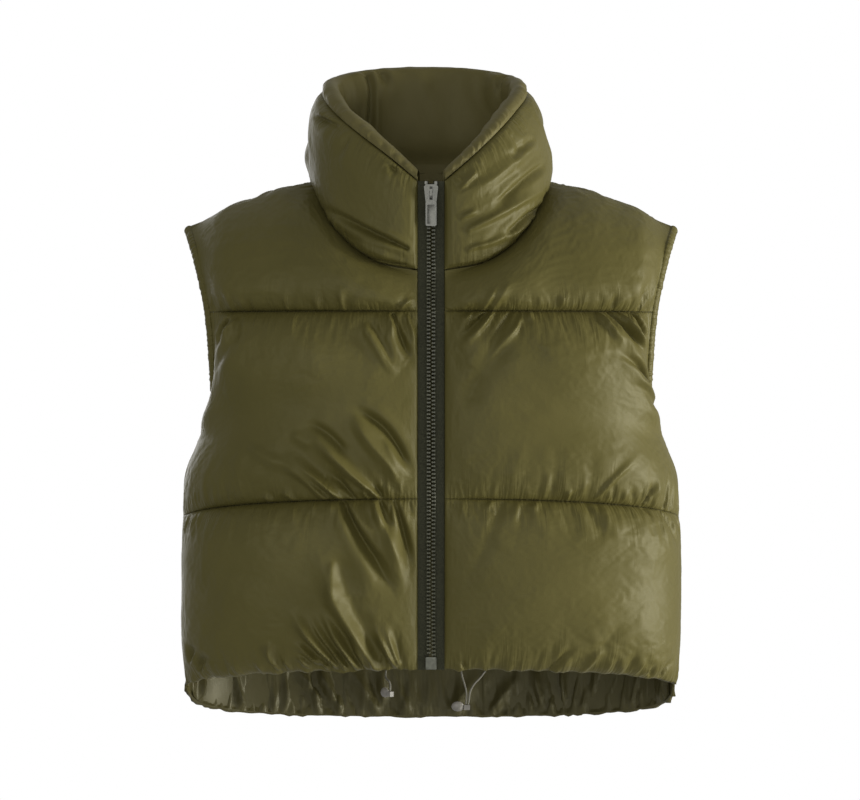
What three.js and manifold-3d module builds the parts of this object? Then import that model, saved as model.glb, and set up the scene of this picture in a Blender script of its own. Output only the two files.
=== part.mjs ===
// Cropped, sleeveless puffer vest with a tall funnel collar, zipped to the top and filled out as if it
// were worn. Each quilted panel is a padded wall: a puffed face over a plain inside, thin at its seams.
//
// Millimetres, +Z up. The garment faces -Y, and +X is the wearer's left. The origin is on the line
// between the two points where the shoulder seams meet the collar, above the middle of the body.

import * as THREE from 'three';
import { mergeVertices } from 'three/addons/utils/BufferGeometryUtils.js';
import Module from 'manifold-3d';

const wasm = await Module();
wasm.setup();

// Sewing
const SEAM_GAP = 0.3;
const WALL = 3;               // shell, wadding and lining pressed together at a seam
const LINING = { gap: 0.4, thickness: 1.2 };
const ZIP_EDGE = 12.3;        // from the middle of the zip to the edge of each front

// The rings sewn round the body, level with the hem and the two quilting seams. The depths are from the
// side seams to the middle of the front and back, and the heights are at the front, side and back.
const RINGS = {
  hem: { halfWidth: 231, front: 106, back: 90, zFront: -452, zSide: -477, zBack: -518 },
  lowSeam: { halfWidth: 233, front: 113, back: 94, zFront: -296, zSide: -319, zBack: -326 },
  highSeam: { halfWidth: 225, front: 102, back: 90, zFront: -125, zSide: -124, zBack: -132 },
};
const SQUARENESS = 2.4;       // of each ring seen from above, where 2 is an ellipse
const ARMHOLE_SHARE = 0.51;   // of a ring's depth, where the armholes cut the high seam

// Points down the side, all at the silhouette, with the armhole between the shoulder tip and underarm
const SHOULDER_TIP = [228, 0, -42];
const SHOULDER_MIDDLE = [170, 0, -22];
const UNDERARM = [207, 0, -222];
const SIDE_WAIST = [[232, 0, -277], [221, 0, -249]];
const ARMHOLE_FRONT = { low: [201, -41, -201], high: [218, -38, -68] };
const ARMHOLE_BACK = { low: [203, 40, -201], high: [220, 37, -68] };

// Half of the collar from the zip round to the middle of the back, where each row is one section: the
// neck seam, the rim above it, and how far the puffed side sags over the neck seam.
const COLLAR = [
  { neck: [ZIP_EDGE, -94, -88], rim: [ZIP_EDGE, -97, -6], sag: 3 },
  { neck: [50, -86, -80], rim: [37, -90, 16], sag: 5 },
  { neck: [80, -66, -57], rim: [62, -75, 39], sag: 2 },
  { neck: [99, -36, -24], rim: [82, -48, 61], sag: 2 },
  { neck: [106, 0, 0], rim: [94, -12, 81], sag: 1 },
  { neck: [95, 37, 10], rim: [87, 32, 95], sag: 1 },
  { neck: [57, 59, 18], rim: [53, 57, 104], sag: 1 },
  { neck: [0, 66, 21], rim: [0, 65, 107], sag: 1 },
];
const SHOULDER_ROW = 4;       // of the collar's rows, where the shoulder seam meets the neck seam
const COLLAR_LEAN = -6;       // of the rim beyond the zip, towards the wearer's right
const COLLAR_PUFF = 12;
const COLLAR_RISE = 32;       // where it rises from its seams
const COLLAR_SAG = { start: 0.1, from: 0.12, over: 0.4 };
const COLLAR_FOLD_GAIN = 1.5;
const LEAN_DEPTH = 40;        // behind the zip, over which the collar's lean comes in
const NECK_CENTRE = [0, -14, 0];

// The collar's facing rolls over the rim and lines the inside. Each row is a point of its section: how
// far down from the rim to the neck seam, then inwards and up from there.
const FACING_FACE = [
  { down: 0, inward: -2.6, up: 1.4 },
  { down: 0, inward: -2.2, up: 6 },
  { down: 0, inward: 2, up: 10 },
  { down: 0, inward: 9, up: 9.5 },
  { down: 0.02, inward: 14, up: 4 },
  { down: 0.2, inward: 16, up: 0 },
  { down: 0.45, inward: 15, up: 0 },
  { down: 0.75, inward: 12, up: 0 },
  { down: 1, inward: 4.6, up: 2.5 },
];
const FACING_BACK = [
  { down: 0, inward: -1.8, up: 0.9 },
  { down: 0, inward: 1.9, up: 0.9 },
  { down: 0.3, inward: 3, up: 0 },
  { down: 0.65, inward: 3, up: 0 },
  { down: 1, inward: 3.8, up: 3 },
];

// How high each kind of panel puffs and over what distance it rises from its seams. The crown rounds the
// whole wall out between its seams, and gathers are the small waves along the top and bottom seams.
const PUFFS = {
  lower: { height: 24, rise: 46, crown: 2, gathers: 8 },
  chest: { height: 23, rise: 46, crown: 5, gathers: 8 },
  yoke: { height: 15, rise: 36, crown: 16, gathers: 8 },
};
const SIDE_RISE = 100;        // from a side seam, flat at first
const ARMHOLE_RISE = 44;      // from an armhole, flat at first beside the binding
const NECK_RISE = 78;         // and from the neck seam, which the collar hangs over
const GATHER_DEPTH = 1.6;
const GATHER_REACH = 14;      // from the seam to where a gather is deepest
// Each gather is one wave along the seam times a slower one that makes it uneven
const GATHER_WAVE = { upperShift: 1.3, slowAlong: 5.1, slowUp: 2.2, slowShift: 0.6 };
const CROWN_SCALE = 6.75;     // brings the crown's curve to a height of 1, a third of the way up
const SOFT_POWER = 0.8;       // of the soft rises from the side seams and the armholes
const CREASE_END = 0.35;      // of a crease's depth, which is left at its two ends
const FOLD_REACH = 0.5;       // of a panel's height, where its creases reach their full depth

// The largest creases, as seen from the front or, on the back, from behind the garment: where each one
// starts and ends across and up, its depth, below zero for a trough, and half its width.
const CREASES = {
  front_lower_right: [
    { from: [-42, -310], to: [-20, -420], depth: -6, width: 9 },
    { from: [-66, -318], to: [-38, -428], depth: 5, width: 10 },
    { from: [-84, -322], to: [-52, -440], depth: -5, width: 9 },
    { from: [-104, -350], to: [-66, -444], depth: 5, width: 9 },
    { from: [-124, -372], to: [-84, -446], depth: -5, width: 9 },
    { from: [-146, -392], to: [-108, -444], depth: 4, width: 10 },
    { from: [-186, -430], to: [-176, -462], depth: -4, width: 9 },
  ],
  front_lower_left: [
    { from: [70, -310], to: [40, -376], depth: -3, width: 10 },
    { from: [104, -398], to: [86, -444], depth: -5, width: 9 },
    { from: [146, -388], to: [112, -444], depth: 4, width: 10 },
    { from: [166, -406], to: [152, -452], depth: -4, width: 8 },
    { from: [190, -414], to: [176, -458], depth: 4, width: 8 },
    { from: [208, -420], to: [202, -464], depth: -5, width: 8 },
  ],
  front_chest_right: [
    { from: [-36, -138], to: [-20, -190], depth: -5, width: 8 },
    { from: [-56, -140], to: [-34, -196], depth: 4, width: 9 },
    { from: [-62, -190], to: [-24, -282], depth: -4, width: 10 },
    { from: [-88, -214], to: [-48, -286], depth: 5, width: 10 },
    { from: [-112, -212], to: [-70, -284], depth: -5, width: 9 },
    { from: [-136, -232], to: [-92, -286], depth: 5, width: 9 },
    { from: [-154, -250], to: [-116, -290], depth: -4, width: 9 },
    { from: [-196, -134], to: [-204, -176], depth: -4, width: 8 },
  ],
  front_chest_left: [
    { from: [34, -138], to: [16, -166], depth: -4, width: 8 },
    { from: [62, -140], to: [40, -188], depth: 4, width: 9 },
    { from: [152, -136], to: [178, -190], depth: -5, width: 9 },
    { from: [174, -134], to: [196, -184], depth: 4, width: 8 },
    { from: [160, -172], to: [202, -218], depth: -5, width: 8 },
    { from: [90, -230], to: [70, -288], depth: 4, width: 9 },
    { from: [130, -240], to: [152, -292], depth: -4, width: 10 },
    { from: [196, -258], to: [190, -304], depth: -5, width: 8 },
  ],
  front_yoke_right: [
    { from: [-150, -84], to: [-156, -120], depth: 3, width: 9 },
    { from: [-110, -92], to: [-112, -120], depth: -3, width: 9 },
  ],
  front_yoke_left: [
    { from: [148, -80], to: [150, -120], depth: -3, width: 9 },
    { from: [182, -70], to: [192, -118], depth: 4, width: 9 },
    { from: [50, -92], to: [42, -120], depth: 3, width: 8 },
  ],
  back_lower: [
    { from: [-160, -350], to: [-122, -446], depth: -5, width: 17 },
    { from: [-92, -346], to: [-112, -430], depth: 4, width: 18 },
    { from: [-52, -420], to: [-30, -500], depth: -4, width: 16 },
    { from: [36, -350], to: [62, -430], depth: -4, width: 17 },
    { from: [112, -360], to: [86, -450], depth: 4, width: 18 },
    { from: [176, -420], to: [160, -490], depth: -4, width: 16 },
  ],
  back_chest: [
    { from: [-176, -170], to: [-140, -230], depth: -4, width: 17 },
    { from: [-130, -240], to: [-100, -310], depth: 4, width: 17 },
    { from: [-44, -146], to: [-64, -206], depth: -4, width: 18 },
    { from: [52, -250], to: [84, -316], depth: -4, width: 18 },
    { from: [146, -156], to: [112, -220], depth: 4, width: 17 },
  ],
  back_yoke: [
    { from: [-140, -60], to: [-132, -122], depth: -3, width: 17 },
    { from: [-60, -50], to: [-48, -110], depth: 3, width: 17 },
    { from: [80, -56], to: [92, -120], depth: -3, width: 17 },
  ],
};

// The same for the collar, where across is the share of the way round from the right front edge to the
// left one, up is the share of its height, and depth and width are in millimetres.
const COLLAR_SPREAD = { length: 640, height: 90 };
const COLLAR_CREASES = [
  { from: [0.03, 0.2], to: [0.12, 0.55], depth: -5, width: 12 },
  { from: [0.14, 0.6], to: [0.2, 0.95], depth: -4, width: 11 },
  { from: [0.22, 0.5], to: [0.26, 0.95], depth: -3, width: 11 },
  { from: [0.42, 0.2], to: [0.44, 0.85], depth: -3, width: 16 },
  { from: [0.57, 0.25], to: [0.55, 0.85], depth: -3, width: 16 },
  { from: [0.78, 0.4], to: [0.7, 0.9], depth: -4, width: 12 },
  { from: [0.9, 0.15], to: [0.78, 0.6], depth: 4, width: 12 },
  { from: [0.92, 0.5], to: [0.84, 0.92], depth: -4, width: 12 },
  { from: [0.97, 0.2], to: [0.87, 0.62], depth: -5, width: 12 },
];

// Armhole binding, an elastic band that gathers as it goes round
const BINDING_GAP = 0.7;       // beyond the panels' edges, which run straight between their points
const BINDING_WIDTH = 9;
const BINDING_THICKNESS = 4;
const BINDING_WAVES = 13;
const BINDING_WAVE = { even: 0.7, uneven: 0.3, slow: 9, width: 0.12, height: 0.9 };
const ARMHOLE_CENTRE = [0, 0, -138];

// Zip, whose chain runs down the front of two tapes
const TAPE = { inner: 1.9, outer: 12, thickness: 1 };
const CHAIN = { inner: 0.15, outer: 4.2, front: 3.2, back: 0.8 };
const ZIP_BOX = { halfWidth: 5, height: 12, bottom: 0.6, corner: 1.2, behind: 0.4, front: 4.2 };
const SLIDER = { drop: 11, length: 16, topWidth: 13, bottomWidth: 10, front: 3.5, plate: 2, chamfer: 2 };
const SLIDER_BACK = { behind: 0.4, thickness: 1.2 };
const SLIDER_POST = { width: 3, bottom: 7, top: 1, corner: 0.8, intoBack: 0.6, intoFront: 1 };
const BRIDGE = {
  thickness: 2.6, length: 12, height: 5, bar: 1.3, foot: 2.4, sunk: 0.6, shoulder: 1.4, bend: 3.6,
};
const PULL = {
  width: 10, length: 31, thickness: 1.8, eye: 8.5, rim: 1.6, ear: 1.5, overlap: 1.6, pinAbove: 1,
  corner: 1.6, recess: 0.6, recessCorner: 0.8,
};
const PULL_SIDE_CLEARANCE = 0.5;
const STOP = { width: 3, height: 3.6, corner: 0.8, behind: 0.3, across: 1 };
const CHAIN_END_GAP = 0.3;

// Drawcord, whose ends come out under the front hem. Each route is a list of points.
const CORD_DIAMETER = 1.6;
const CORDS = {
  drawcord_left_inner: [[27.4, -105.7, -452.6], [28.4, -106.6, -458], [30.4, -108.2, -464.5],
    [32, -109, -471], [32.4, -109.4, -477.5], [31.6, -109.6, -483.2]],
  drawcord_left_outer: [[49.6, -104.9, -453.2], [45.4, -106.4, -458.6], [38.8, -108.5, -465.6],
    [35.4, -109.3, -472.2], [34.6, -109.5, -478], [33.8, -109.6, -483.2]],
  drawcord_right: [[-41, -105.3, -452.8], [-41.4, -107.2, -456.8], [-40.4, -114.6, -459.4],
    [-38, -122, -460.9], [-36.8, -126.4, -464.4], [-37, -127, -469.3]],
};
const LOCK = {
  width: 12, height: 9.2, thickness: 5.5, ferrule: 5.4, ferruleDepth: 3.8, ferruleHeight: 4.6,
};
const LOCK_DISC = { across: -8.3, up: -1.5 };
const LOCKS = {
  cord_lock_left: { at: [32.7, -109.6, -483.5], turn: 0 },
  cord_lock_right: { at: [-37, -127, -469.6], turn: -55 },
};

const COLOURS = {
  shell: new THREE.MeshStandardMaterial({ color: 0x56512f, roughness: 0.5, metalness: 0 }),
  lining: new THREE.MeshStandardMaterial({ color: 0x4a4530, roughness: 0.6, metalness: 0 }),
  tape: new THREE.MeshStandardMaterial({ color: 0x2b2c22, roughness: 0.9, metalness: 0 }),
  teeth: new THREE.MeshStandardMaterial({ color: 0x34352a, roughness: 0.45, metalness: 0 }),
  metal: new THREE.MeshStandardMaterial({ color: 0x6c6b60, roughness: 0.35, metalness: 0.9 }),
  cord: new THREE.MeshStandardMaterial({ color: 0x5f5b48, roughness: 0.8, metalness: 0 }),
  lock: new THREE.MeshStandardMaterial({ color: 0x7a756a, roughness: 0.4, metalness: 0 }),
};

const vector = (values) => new THREE.Vector3(...values);
const clamp01 = (value) => Math.min(Math.max(value, 0), 1);
const smoothstep = (value) => clamp01(value) ** 2 * (3 - 2 * clamp01(value));
const mirrored = (point, side) => new THREE.Vector3(side * point.x, point.y, point.z);
const curveThrough = (points) => new THREE.CatmullRomCurve3(points, false, 'centripetal');

// The stretch of a curve between two of its own parameters, as a function of the share of its length
function stretch(curve, from, to, samples = 32) {
  const points = Array.from({ length: samples + 1 }, (_, i) =>
    curve.getPoint(from + ((to - from) * i) / samples));
  const part = curveThrough(points);
  return (share) => part.getPointAt(clamp01(share));
}

// Several stretches run one after another, each taking its own share of the whole
function chained(...pieces) {
  return (share) => {
    let start = 0;
    for (const [piece, length] of pieces) {
      if (share <= start + length + 1e-9) return piece((share - start) / length);
      start += length;
    }
    return pieces.at(-1)[0](1);
  };
}

const reversed = (piece) => (share) => piece(1 - share);

// A ring's point at an angle from the middle of the front, 90 degrees at the side seam
function ringPoint(ring, angle) {
  const sine = Math.sin(angle);
  const cosine = Math.cos(angle);
  const depth = cosine > 0 ? ring.front : ring.back;
  const level = Math.abs(cosine) ** (cosine > 0 ? 1 : 0.5);
  const zMiddle = cosine > 0 ? ring.zFront : ring.zBack;
  return new THREE.Vector3(
    ring.halfWidth * Math.abs(sine) ** (2 / SQUARENESS),
    -Math.sign(cosine) * depth * Math.abs(cosine) ** (2 / SQUARENESS),
    ring.zSide + (zMiddle - ring.zSide) * level,
  );
}

// The angle where a ring is the given distance from the middle, and where it has the given share of its depth
const angleAtWidth = (ring, width) => Math.asin((width / ring.halfWidth) ** (SQUARENESS / 2));
const angleAtShare = (share) => Math.acos(share ** (SQUARENESS / 2));

function ringStretch(ring, from, to, samples = 48) {
  const points = Array.from({ length: samples + 1 }, (_, i) =>
    ringPoint(ring, from + ((to - from) * i) / samples));
  const part = curveThrough(points);
  return (share) => part.getPointAt(clamp01(share));
}

// Which way is out of the garment at a point of its walls: level round the body and up at the shoulders
const CORE_SHARE = 0.75;
const CORE_TOP = -95;
const CORE_BLEND = 12;
function outward(point) {
  const core = point.z - CORE_BLEND * Math.log(1 + Math.exp((point.z - CORE_TOP) / CORE_BLEND));
  return new THREE.Vector3((1 - CORE_SHARE) * point.x, point.y, point.z - core).normalize();
}

// A smooth surface between four edges that meet at their ends
function patch(bottom, top, inner, outer) {
  const corners = [bottom(0), bottom(1), top(0), top(1)];
  return (s, t) => new THREE.Vector3()
    .addScaledVector(bottom(s), 1 - t)
    .addScaledVector(top(s), t)
    .addScaledVector(inner(t), 1 - s)
    .addScaledVector(outer(t), s)
    .addScaledVector(corners[0], -(1 - s) * (1 - t))
    .addScaledVector(corners[1], -s * (1 - t))
    .addScaledVector(corners[2], -(1 - s) * t)
    .addScaledVector(corners[3], -s * t);
}

// A mesh from corner points and triangles, wound so that its faces point out
function closedGeometry(points, triangles) {
  const area = new THREE.Vector3();
  const volume = triangles.reduce((sum, [a, b, c]) =>
    sum + points[a].dot(area.crossVectors(points[b], points[c])), 0);
  const wound = volume > 0 ? triangles : triangles.map(([a, b, c]) => [a, c, b]);
  const geometry = new THREE.BufferGeometry();
  const places = points.flatMap((point) => point.toArray());
  geometry.setAttribute('position', new THREE.Float32BufferAttribute(places, 3));
  geometry.setIndex(wound.flat());
  geometry.computeVertexNormals();
  return geometry;
}

// A closed wall between a fine grid of points and a plain one with half as many rows and columns
function wallGeometry(fine, plain) {
  const rows = fine.length - 1;
  const columns = fine[0].length - 1;
  const plainColumns = columns / 2;
  const plainStart = (rows + 1) * (columns + 1);
  const fineAt = (row, column) => row * (columns + 1) + column;
  const plainAt = (row, column) => plainStart + (row / 2) * (plainColumns + 1) + column / 2;
  const triangles = [];
  const quad = (a, b, c, d) => triangles.push([a, b, c], [a, c, d]);
  for (let row = 0; row < rows; row += 1) {
    for (let column = 0; column < columns; column += 1) {
      quad(
        fineAt(row, column), fineAt(row, column + 1),
        fineAt(row + 1, column + 1), fineAt(row + 1, column),
      );
    }
  }
  for (let row = 0; row < rows; row += 2) {
    for (let column = 0; column < columns; column += 2) {
      quad(
        plainAt(row, column), plainAt(row + 2, column),
        plainAt(row + 2, column + 2), plainAt(row, column + 2),
      );
    }
  }
  // Each step of the rim joins one plain edge to two fine ones
  const rim = (first, middle, last, plainFirst, plainLast) => triangles.push(
    [middle, first, plainFirst], [last, middle, plainLast], [middle, plainFirst, plainLast]);
  for (let column = 0; column < columns; column += 2) {
    rim(fineAt(0, column), fineAt(0, column + 1), fineAt(0, column + 2),
      plainAt(0, column), plainAt(0, column + 2));
    rim(fineAt(rows, column + 2), fineAt(rows, column + 1), fineAt(rows, column),
      plainAt(rows, column + 2), plainAt(rows, column));
  }
  for (let row = 0; row < rows; row += 2) {
    rim(fineAt(row + 2, 0), fineAt(row + 1, 0), fineAt(row, 0), plainAt(row + 2, 0), plainAt(row, 0));
    rim(fineAt(row, columns), fineAt(row + 1, columns), fineAt(row + 2, columns),
      plainAt(row, columns), plainAt(row + 2, columns));
  }
  return closedGeometry([...fine.flat(), ...plain.flat()], triangles);
}

// Shares from 0 to 1, closer together near both ends, where a padded panel curves most
function spacing(count, crowding = 0.7) {
  return Array.from({ length: count + 1 }, (_, i) => {
    const even = i / count;
    return even * (1 - crowding) + (0.5 - 0.5 * Math.cos(Math.PI * even)) * crowding;
  });
}

const isEven = (_, i) => i % 2 === 0;
const everyOther = (grid) => grid.filter(isEven).map((line) => line.filter(isEven));

// The rounded rise of padding from a seam
const rise = (distance, reach) => Math.sqrt(1 - (1 - clamp01(distance / reach)) ** 2);

// How far one crease lifts a point that lies across and up from the same corner as the crease's ends
function creaseLift(crease, across, up) {
  const alongX = crease.to[0] - crease.from[0];
  const alongY = crease.to[1] - crease.from[1];
  const fromX = across - crease.from[0];
  const fromY = up - crease.from[1];
  const length = Math.hypot(alongX, alongY);
  const share = clamp01((fromX * alongX + fromY * alongY) / length ** 2);
  const distance = Math.hypot(fromX - share * alongX, fromY - share * alongY);
  const fade = CREASE_END + (1 - CREASE_END) * Math.sin(Math.PI * share);
  return crease.depth * fade * Math.exp(-((distance / crease.width) ** 2));
}

// One padded panel. The edges say what each side is sewn to, and across runs from s = 0 to s = 1.
function panelGrid({ surface, kind, creases, edges, columns, rows, side = 1 }) {
  const { height, rise: reach, crown, gathers } = PUFFS[kind];
  const middle = surface(0.5, 0.5);
  const width = surface(0, 0.5).distanceTo(middle) + middle.distanceTo(surface(1, 0.5));
  const tall = surface(0.5, 0).distanceTo(surface(0.5, 1)) + 2 * crown;
  const insetS = SEAM_GAP / 2 / width;
  const insetT = SEAM_GAP / 2 / tall;
  const fades = {
    seam: (distance) => rise(distance, reach),
    side: (distance) => smoothstep(distance / SIDE_RISE) ** SOFT_POWER,
    neck: (distance) => smoothstep(distance / NECK_RISE),
    armhole: (distance) => smoothstep(distance / ARMHOLE_RISE) ** SOFT_POWER,
  };
  const fade = (kinds, distance) => Object.entries(kinds).reduce((sum, [edge, share]) =>
    sum + share * fades[edge](distance), 0);
  const base = (s, t) => {
    const point = surface(s, t);
    const arch = CROWN_SCALE * t * (1 - t) ** 2 * Math.sqrt(Math.sin(Math.PI * s));
    return point.addScaledVector(outward(point), crown * arch);
  };
  const lift = (s, t, point) => {
    const topEdge = edges.top(s);
    const puff = height * fade({ seam: 1 }, t * tall) * fade({ [topEdge]: 1 }, (1 - t) * tall)
      * fade(edges.inner(t), s * width) * fade(edges.outer(t), (1 - s) * width);
    const nearSeam = Math.min(t, 1 - t) * tall;
    const { upperShift, slowAlong, slowUp, slowShift } = GATHER_WAVE;
    const wave = Math.sin(2 * Math.PI * gathers * s + (t > 0.5 ? upperShift : 0))
      * Math.sin(slowAlong * s + slowUp * t + slowShift);
    const gather = topEdge === 'neck' && t > 0.5 ? 0
      : GATHER_DEPTH * wave * (nearSeam / GATHER_REACH) * Math.exp(1 - nearSeam / GATHER_REACH);
    const folds = creases.reduce((sum, crease) => sum + creaseLift(crease, side * point.x, point.z), 0);
    return puff + (gather + folds) * smoothstep(puff / (FOLD_REACH * height));
  };
  const sShares = spacing(columns).map((s) => insetS + s * (1 - 2 * insetS));
  const tShares = spacing(rows).map((t) => insetT + t * (1 - 2 * insetT));
  return tShares.map((t) => sShares.map((s) => {
    const point = base(s, t);
    return { point, out: outward(point), lift: lift(s, t, point) };
  }));
}

const shifted = (grid, amount) => grid.map((line) => line.map(({ point, out, lift }) =>
  point.clone().addScaledVector(out, amount(lift))));

// The inside stops one point short of the side and armhole edges, so that its straight steps clear them
const trimmedEnds = (line, ends) => line.map((place, i) => {
  if (ends.first && i === 0) return line[1];
  return ends.last && i === line.length - 1 ? line.at(-2) : place;
});

function panelGeometry(grid, side, ends) {
  const face = shifted(grid, (lift) => WALL / 2 + Math.max(lift, 0));
  const inside = shifted(everyOther(grid.map((line) => trimmedEnds(line, ends))), () => -WALL / 2);
  const turned = (points) => points.map((line) => line.map((p) => mirrored(p, side)));
  return wallGeometry(turned(face), turned(inside));
}

// The seams that the panels share, on the wearer's left
const SEAMS = (() => {
  const ringFront = (ring, end) => ringStretch(ring, angleAtWidth(ring, ZIP_EDGE), end);
  const ringBack = (ring, start) => ringStretch(ring, start, Math.PI);
  const cutFront = angleAtShare(ARMHOLE_SHARE);
  const cutBack = Math.PI - angleAtShare(ARMHOLE_SHARE);
  const sidePoint = (ring) => ringPoint(ring, Math.PI / 2);
  const { hem, lowSeam, highSeam } = RINGS;
  const frontCut = ringPoint(highSeam, cutFront);
  const backCut = ringPoint(highSeam, cutBack);
  const tip = vector(SHOULDER_TIP);
  const underarm = vector(UNDERARM);
  const armholeEdge = ({ low, high }, cut) => curveThrough([underarm, vector(low), cut, vector(high), tip]);
  const frontEdge = armholeEdge(ARMHOLE_FRONT, frontCut);
  const backEdge = armholeEdge(ARMHOLE_BACK, backCut);
  const neck = curveThrough(COLLAR.map((row) => vector(row.neck)));
  const shoulderShare = SHOULDER_ROW / (COLLAR.length - 1);
  const zip = curveThrough([
    ringPoint(hem, angleAtWidth(hem, ZIP_EDGE)),
    ringPoint(lowSeam, angleAtWidth(lowSeam, ZIP_EDGE)),
    ringPoint(highSeam, angleAtWidth(highSeam, ZIP_EDGE)),
    vector(COLLAR[0].neck),
    vector(COLLAR[0].rim),
  ]);
  return {
    hemFront: ringFront(hem, Math.PI / 2),
    lowFront: ringFront(lowSeam, Math.PI / 2),
    highFront: ringFront(highSeam, cutFront),
    hemBack: ringBack(hem, Math.PI / 2),
    lowBack: ringBack(lowSeam, Math.PI / 2),
    highBack: ringBack(highSeam, cutBack),
    sideLow: stretch(curveThrough([sidePoint(hem), sidePoint(lowSeam)]), 0, 1),
    sideHigh: stretch(curveThrough([sidePoint(lowSeam), ...SIDE_WAIST.map(vector), underarm]), 0, 1),
    armFrontLow: stretch(frontEdge, 0, 0.5),
    armFrontHigh: stretch(frontEdge, 0.5, 1),
    armBackLow: stretch(backEdge, 0, 0.5),
    armBackHigh: stretch(backEdge, 0.5, 1),
    neckFront: stretch(neck, 0, shoulderShare),
    neckBack: stretch(neck, shoulderShare, 1),
    shoulder: stretch(
      curveThrough([vector(COLLAR[SHOULDER_ROW].neck), vector(SHOULDER_MIDDLE), tip]), 0, 1,
    ),
    zip,
    zipLow: stretch(zip, 0, 0.25),
    zipChest: stretch(zip, 0.25, 0.5),
    zipYoke: stretch(zip, 0.5, 0.75),
  };
})();

const always = (edge) => () => edge;
const alongZip = () => ({ seam: 1 });
const alongSide = () => ({ side: 1 });
const alongArmhole = () => ({ armhole: 1 });
const ARMHOLE_BLEND = { from: 0.35, over: 0.2 };
function alongBoth(t) {
  const armhole = smoothstep((t - ARMHOLE_BLEND.from) / ARMHOLE_BLEND.over);
  return { side: 1 - armhole, armhole };
}
const NECK_END = 0.5;         // of a front yoke's top edge, where the neck seam gives way to the shoulder
const BACK_NECK = 0.3;        // and of the back yoke's

// The six front panels, from s = 0 at the zip to s = 1 at the side or the armhole
const FRONT_PANELS = {
  lower: {
    surface: patch(SEAMS.hemFront, SEAMS.lowFront, SEAMS.zipLow, SEAMS.sideLow),
    top: always('seam'),
    outer: alongSide,
    rows: 10,
  },
  chest: {
    surface: patch(SEAMS.lowFront, SEAMS.highFront, SEAMS.zipChest,
      chained([SEAMS.sideHigh, 0.5], [SEAMS.armFrontLow, 0.5])),
    top: always('seam'),
    outer: alongBoth,
    rows: 10,
  },
  yoke: {
    surface: patch(SEAMS.highFront, chained([SEAMS.neckFront, NECK_END], [SEAMS.shoulder, 1 - NECK_END]),
      SEAMS.zipYoke, SEAMS.armFrontHigh),
    top: (s) => (s < NECK_END ? 'neck' : 'seam'),
    outer: alongArmhole,
    rows: 6,
  },
};

// A full-width back edge, from s = 0 at the wearer's left to s = 1 at the right
const across = (half) => (s) => (s < 0.5 ? half(2 * s) : mirrored(half(2 - 2 * s), -1));
const toRight = (edge) => (share) => mirrored(edge(share), -1);
const backTop = across(
  chained([reversed(SEAMS.shoulder), 2 * BACK_NECK], [SEAMS.neckBack, 1 - 2 * BACK_NECK]),
);
const chestSide = chained([SEAMS.sideHigh, 0.5], [SEAMS.armBackLow, 0.5]);
const BACK_PANELS = {
  lower: {
    surface: patch(across(SEAMS.hemBack), across(SEAMS.lowBack), SEAMS.sideLow, toRight(SEAMS.sideLow)),
    top: always('seam'),
    side: alongSide,
    rows: 8,
  },
  chest: {
    surface: patch(across(SEAMS.lowBack), across(SEAMS.highBack), chestSide, toRight(chestSide)),
    top: always('seam'),
    side: alongBoth,
    rows: 10,
  },
  yoke: {
    surface: patch(across(SEAMS.highBack), backTop, SEAMS.armBackHigh, toRight(SEAMS.armBackHigh)),
    top: (s) => (s > BACK_NECK && s < 1 - BACK_NECK ? 'neck' : 'seam'),
    side: alongArmhole,
    rows: 8,
  },
};
const FRONT_COLUMNS = 32;
const BACK_COLUMNS = 30;

const group = new THREE.Group();

function addMesh(name, geometry, material) {
  const mesh = new THREE.Mesh(geometry, material);
  mesh.name = name;
  group.add(mesh);
  return mesh;
}

const SIDES = { left: 1, right: -1 };

const frontGrids = {};
for (const [sideName, side] of Object.entries(SIDES)) {
  for (const [kind, panel] of Object.entries(FRONT_PANELS)) {
    const name = `front_${kind}_${sideName}`;
    const grid = panelGrid({
      surface: panel.surface,
      kind,
      creases: CREASES[name],
      edges: { top: panel.top, inner: alongZip, outer: panel.outer },
      columns: FRONT_COLUMNS,
      rows: panel.rows,
      side,
    });
    frontGrids[kind] = grid;
    addMesh(name, panelGeometry(grid, side, { last: true }), COLOURS.shell);
  }
}

const backGrids = Object.fromEntries(Object.entries(BACK_PANELS).map(([kind, panel]) => [kind, panelGrid({
  surface: panel.surface,
  kind,
  creases: CREASES[`back_${kind}`],
  edges: { top: panel.top, inner: panel.side, outer: panel.side },
  columns: BACK_COLUMNS,
  rows: panel.rows,
})]));
for (const [kind, grid] of Object.entries(backGrids)) {
  addMesh(`back_${kind}`, panelGeometry(grid, 1, { first: true, last: true }), COLOURS.shell);
}

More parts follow.
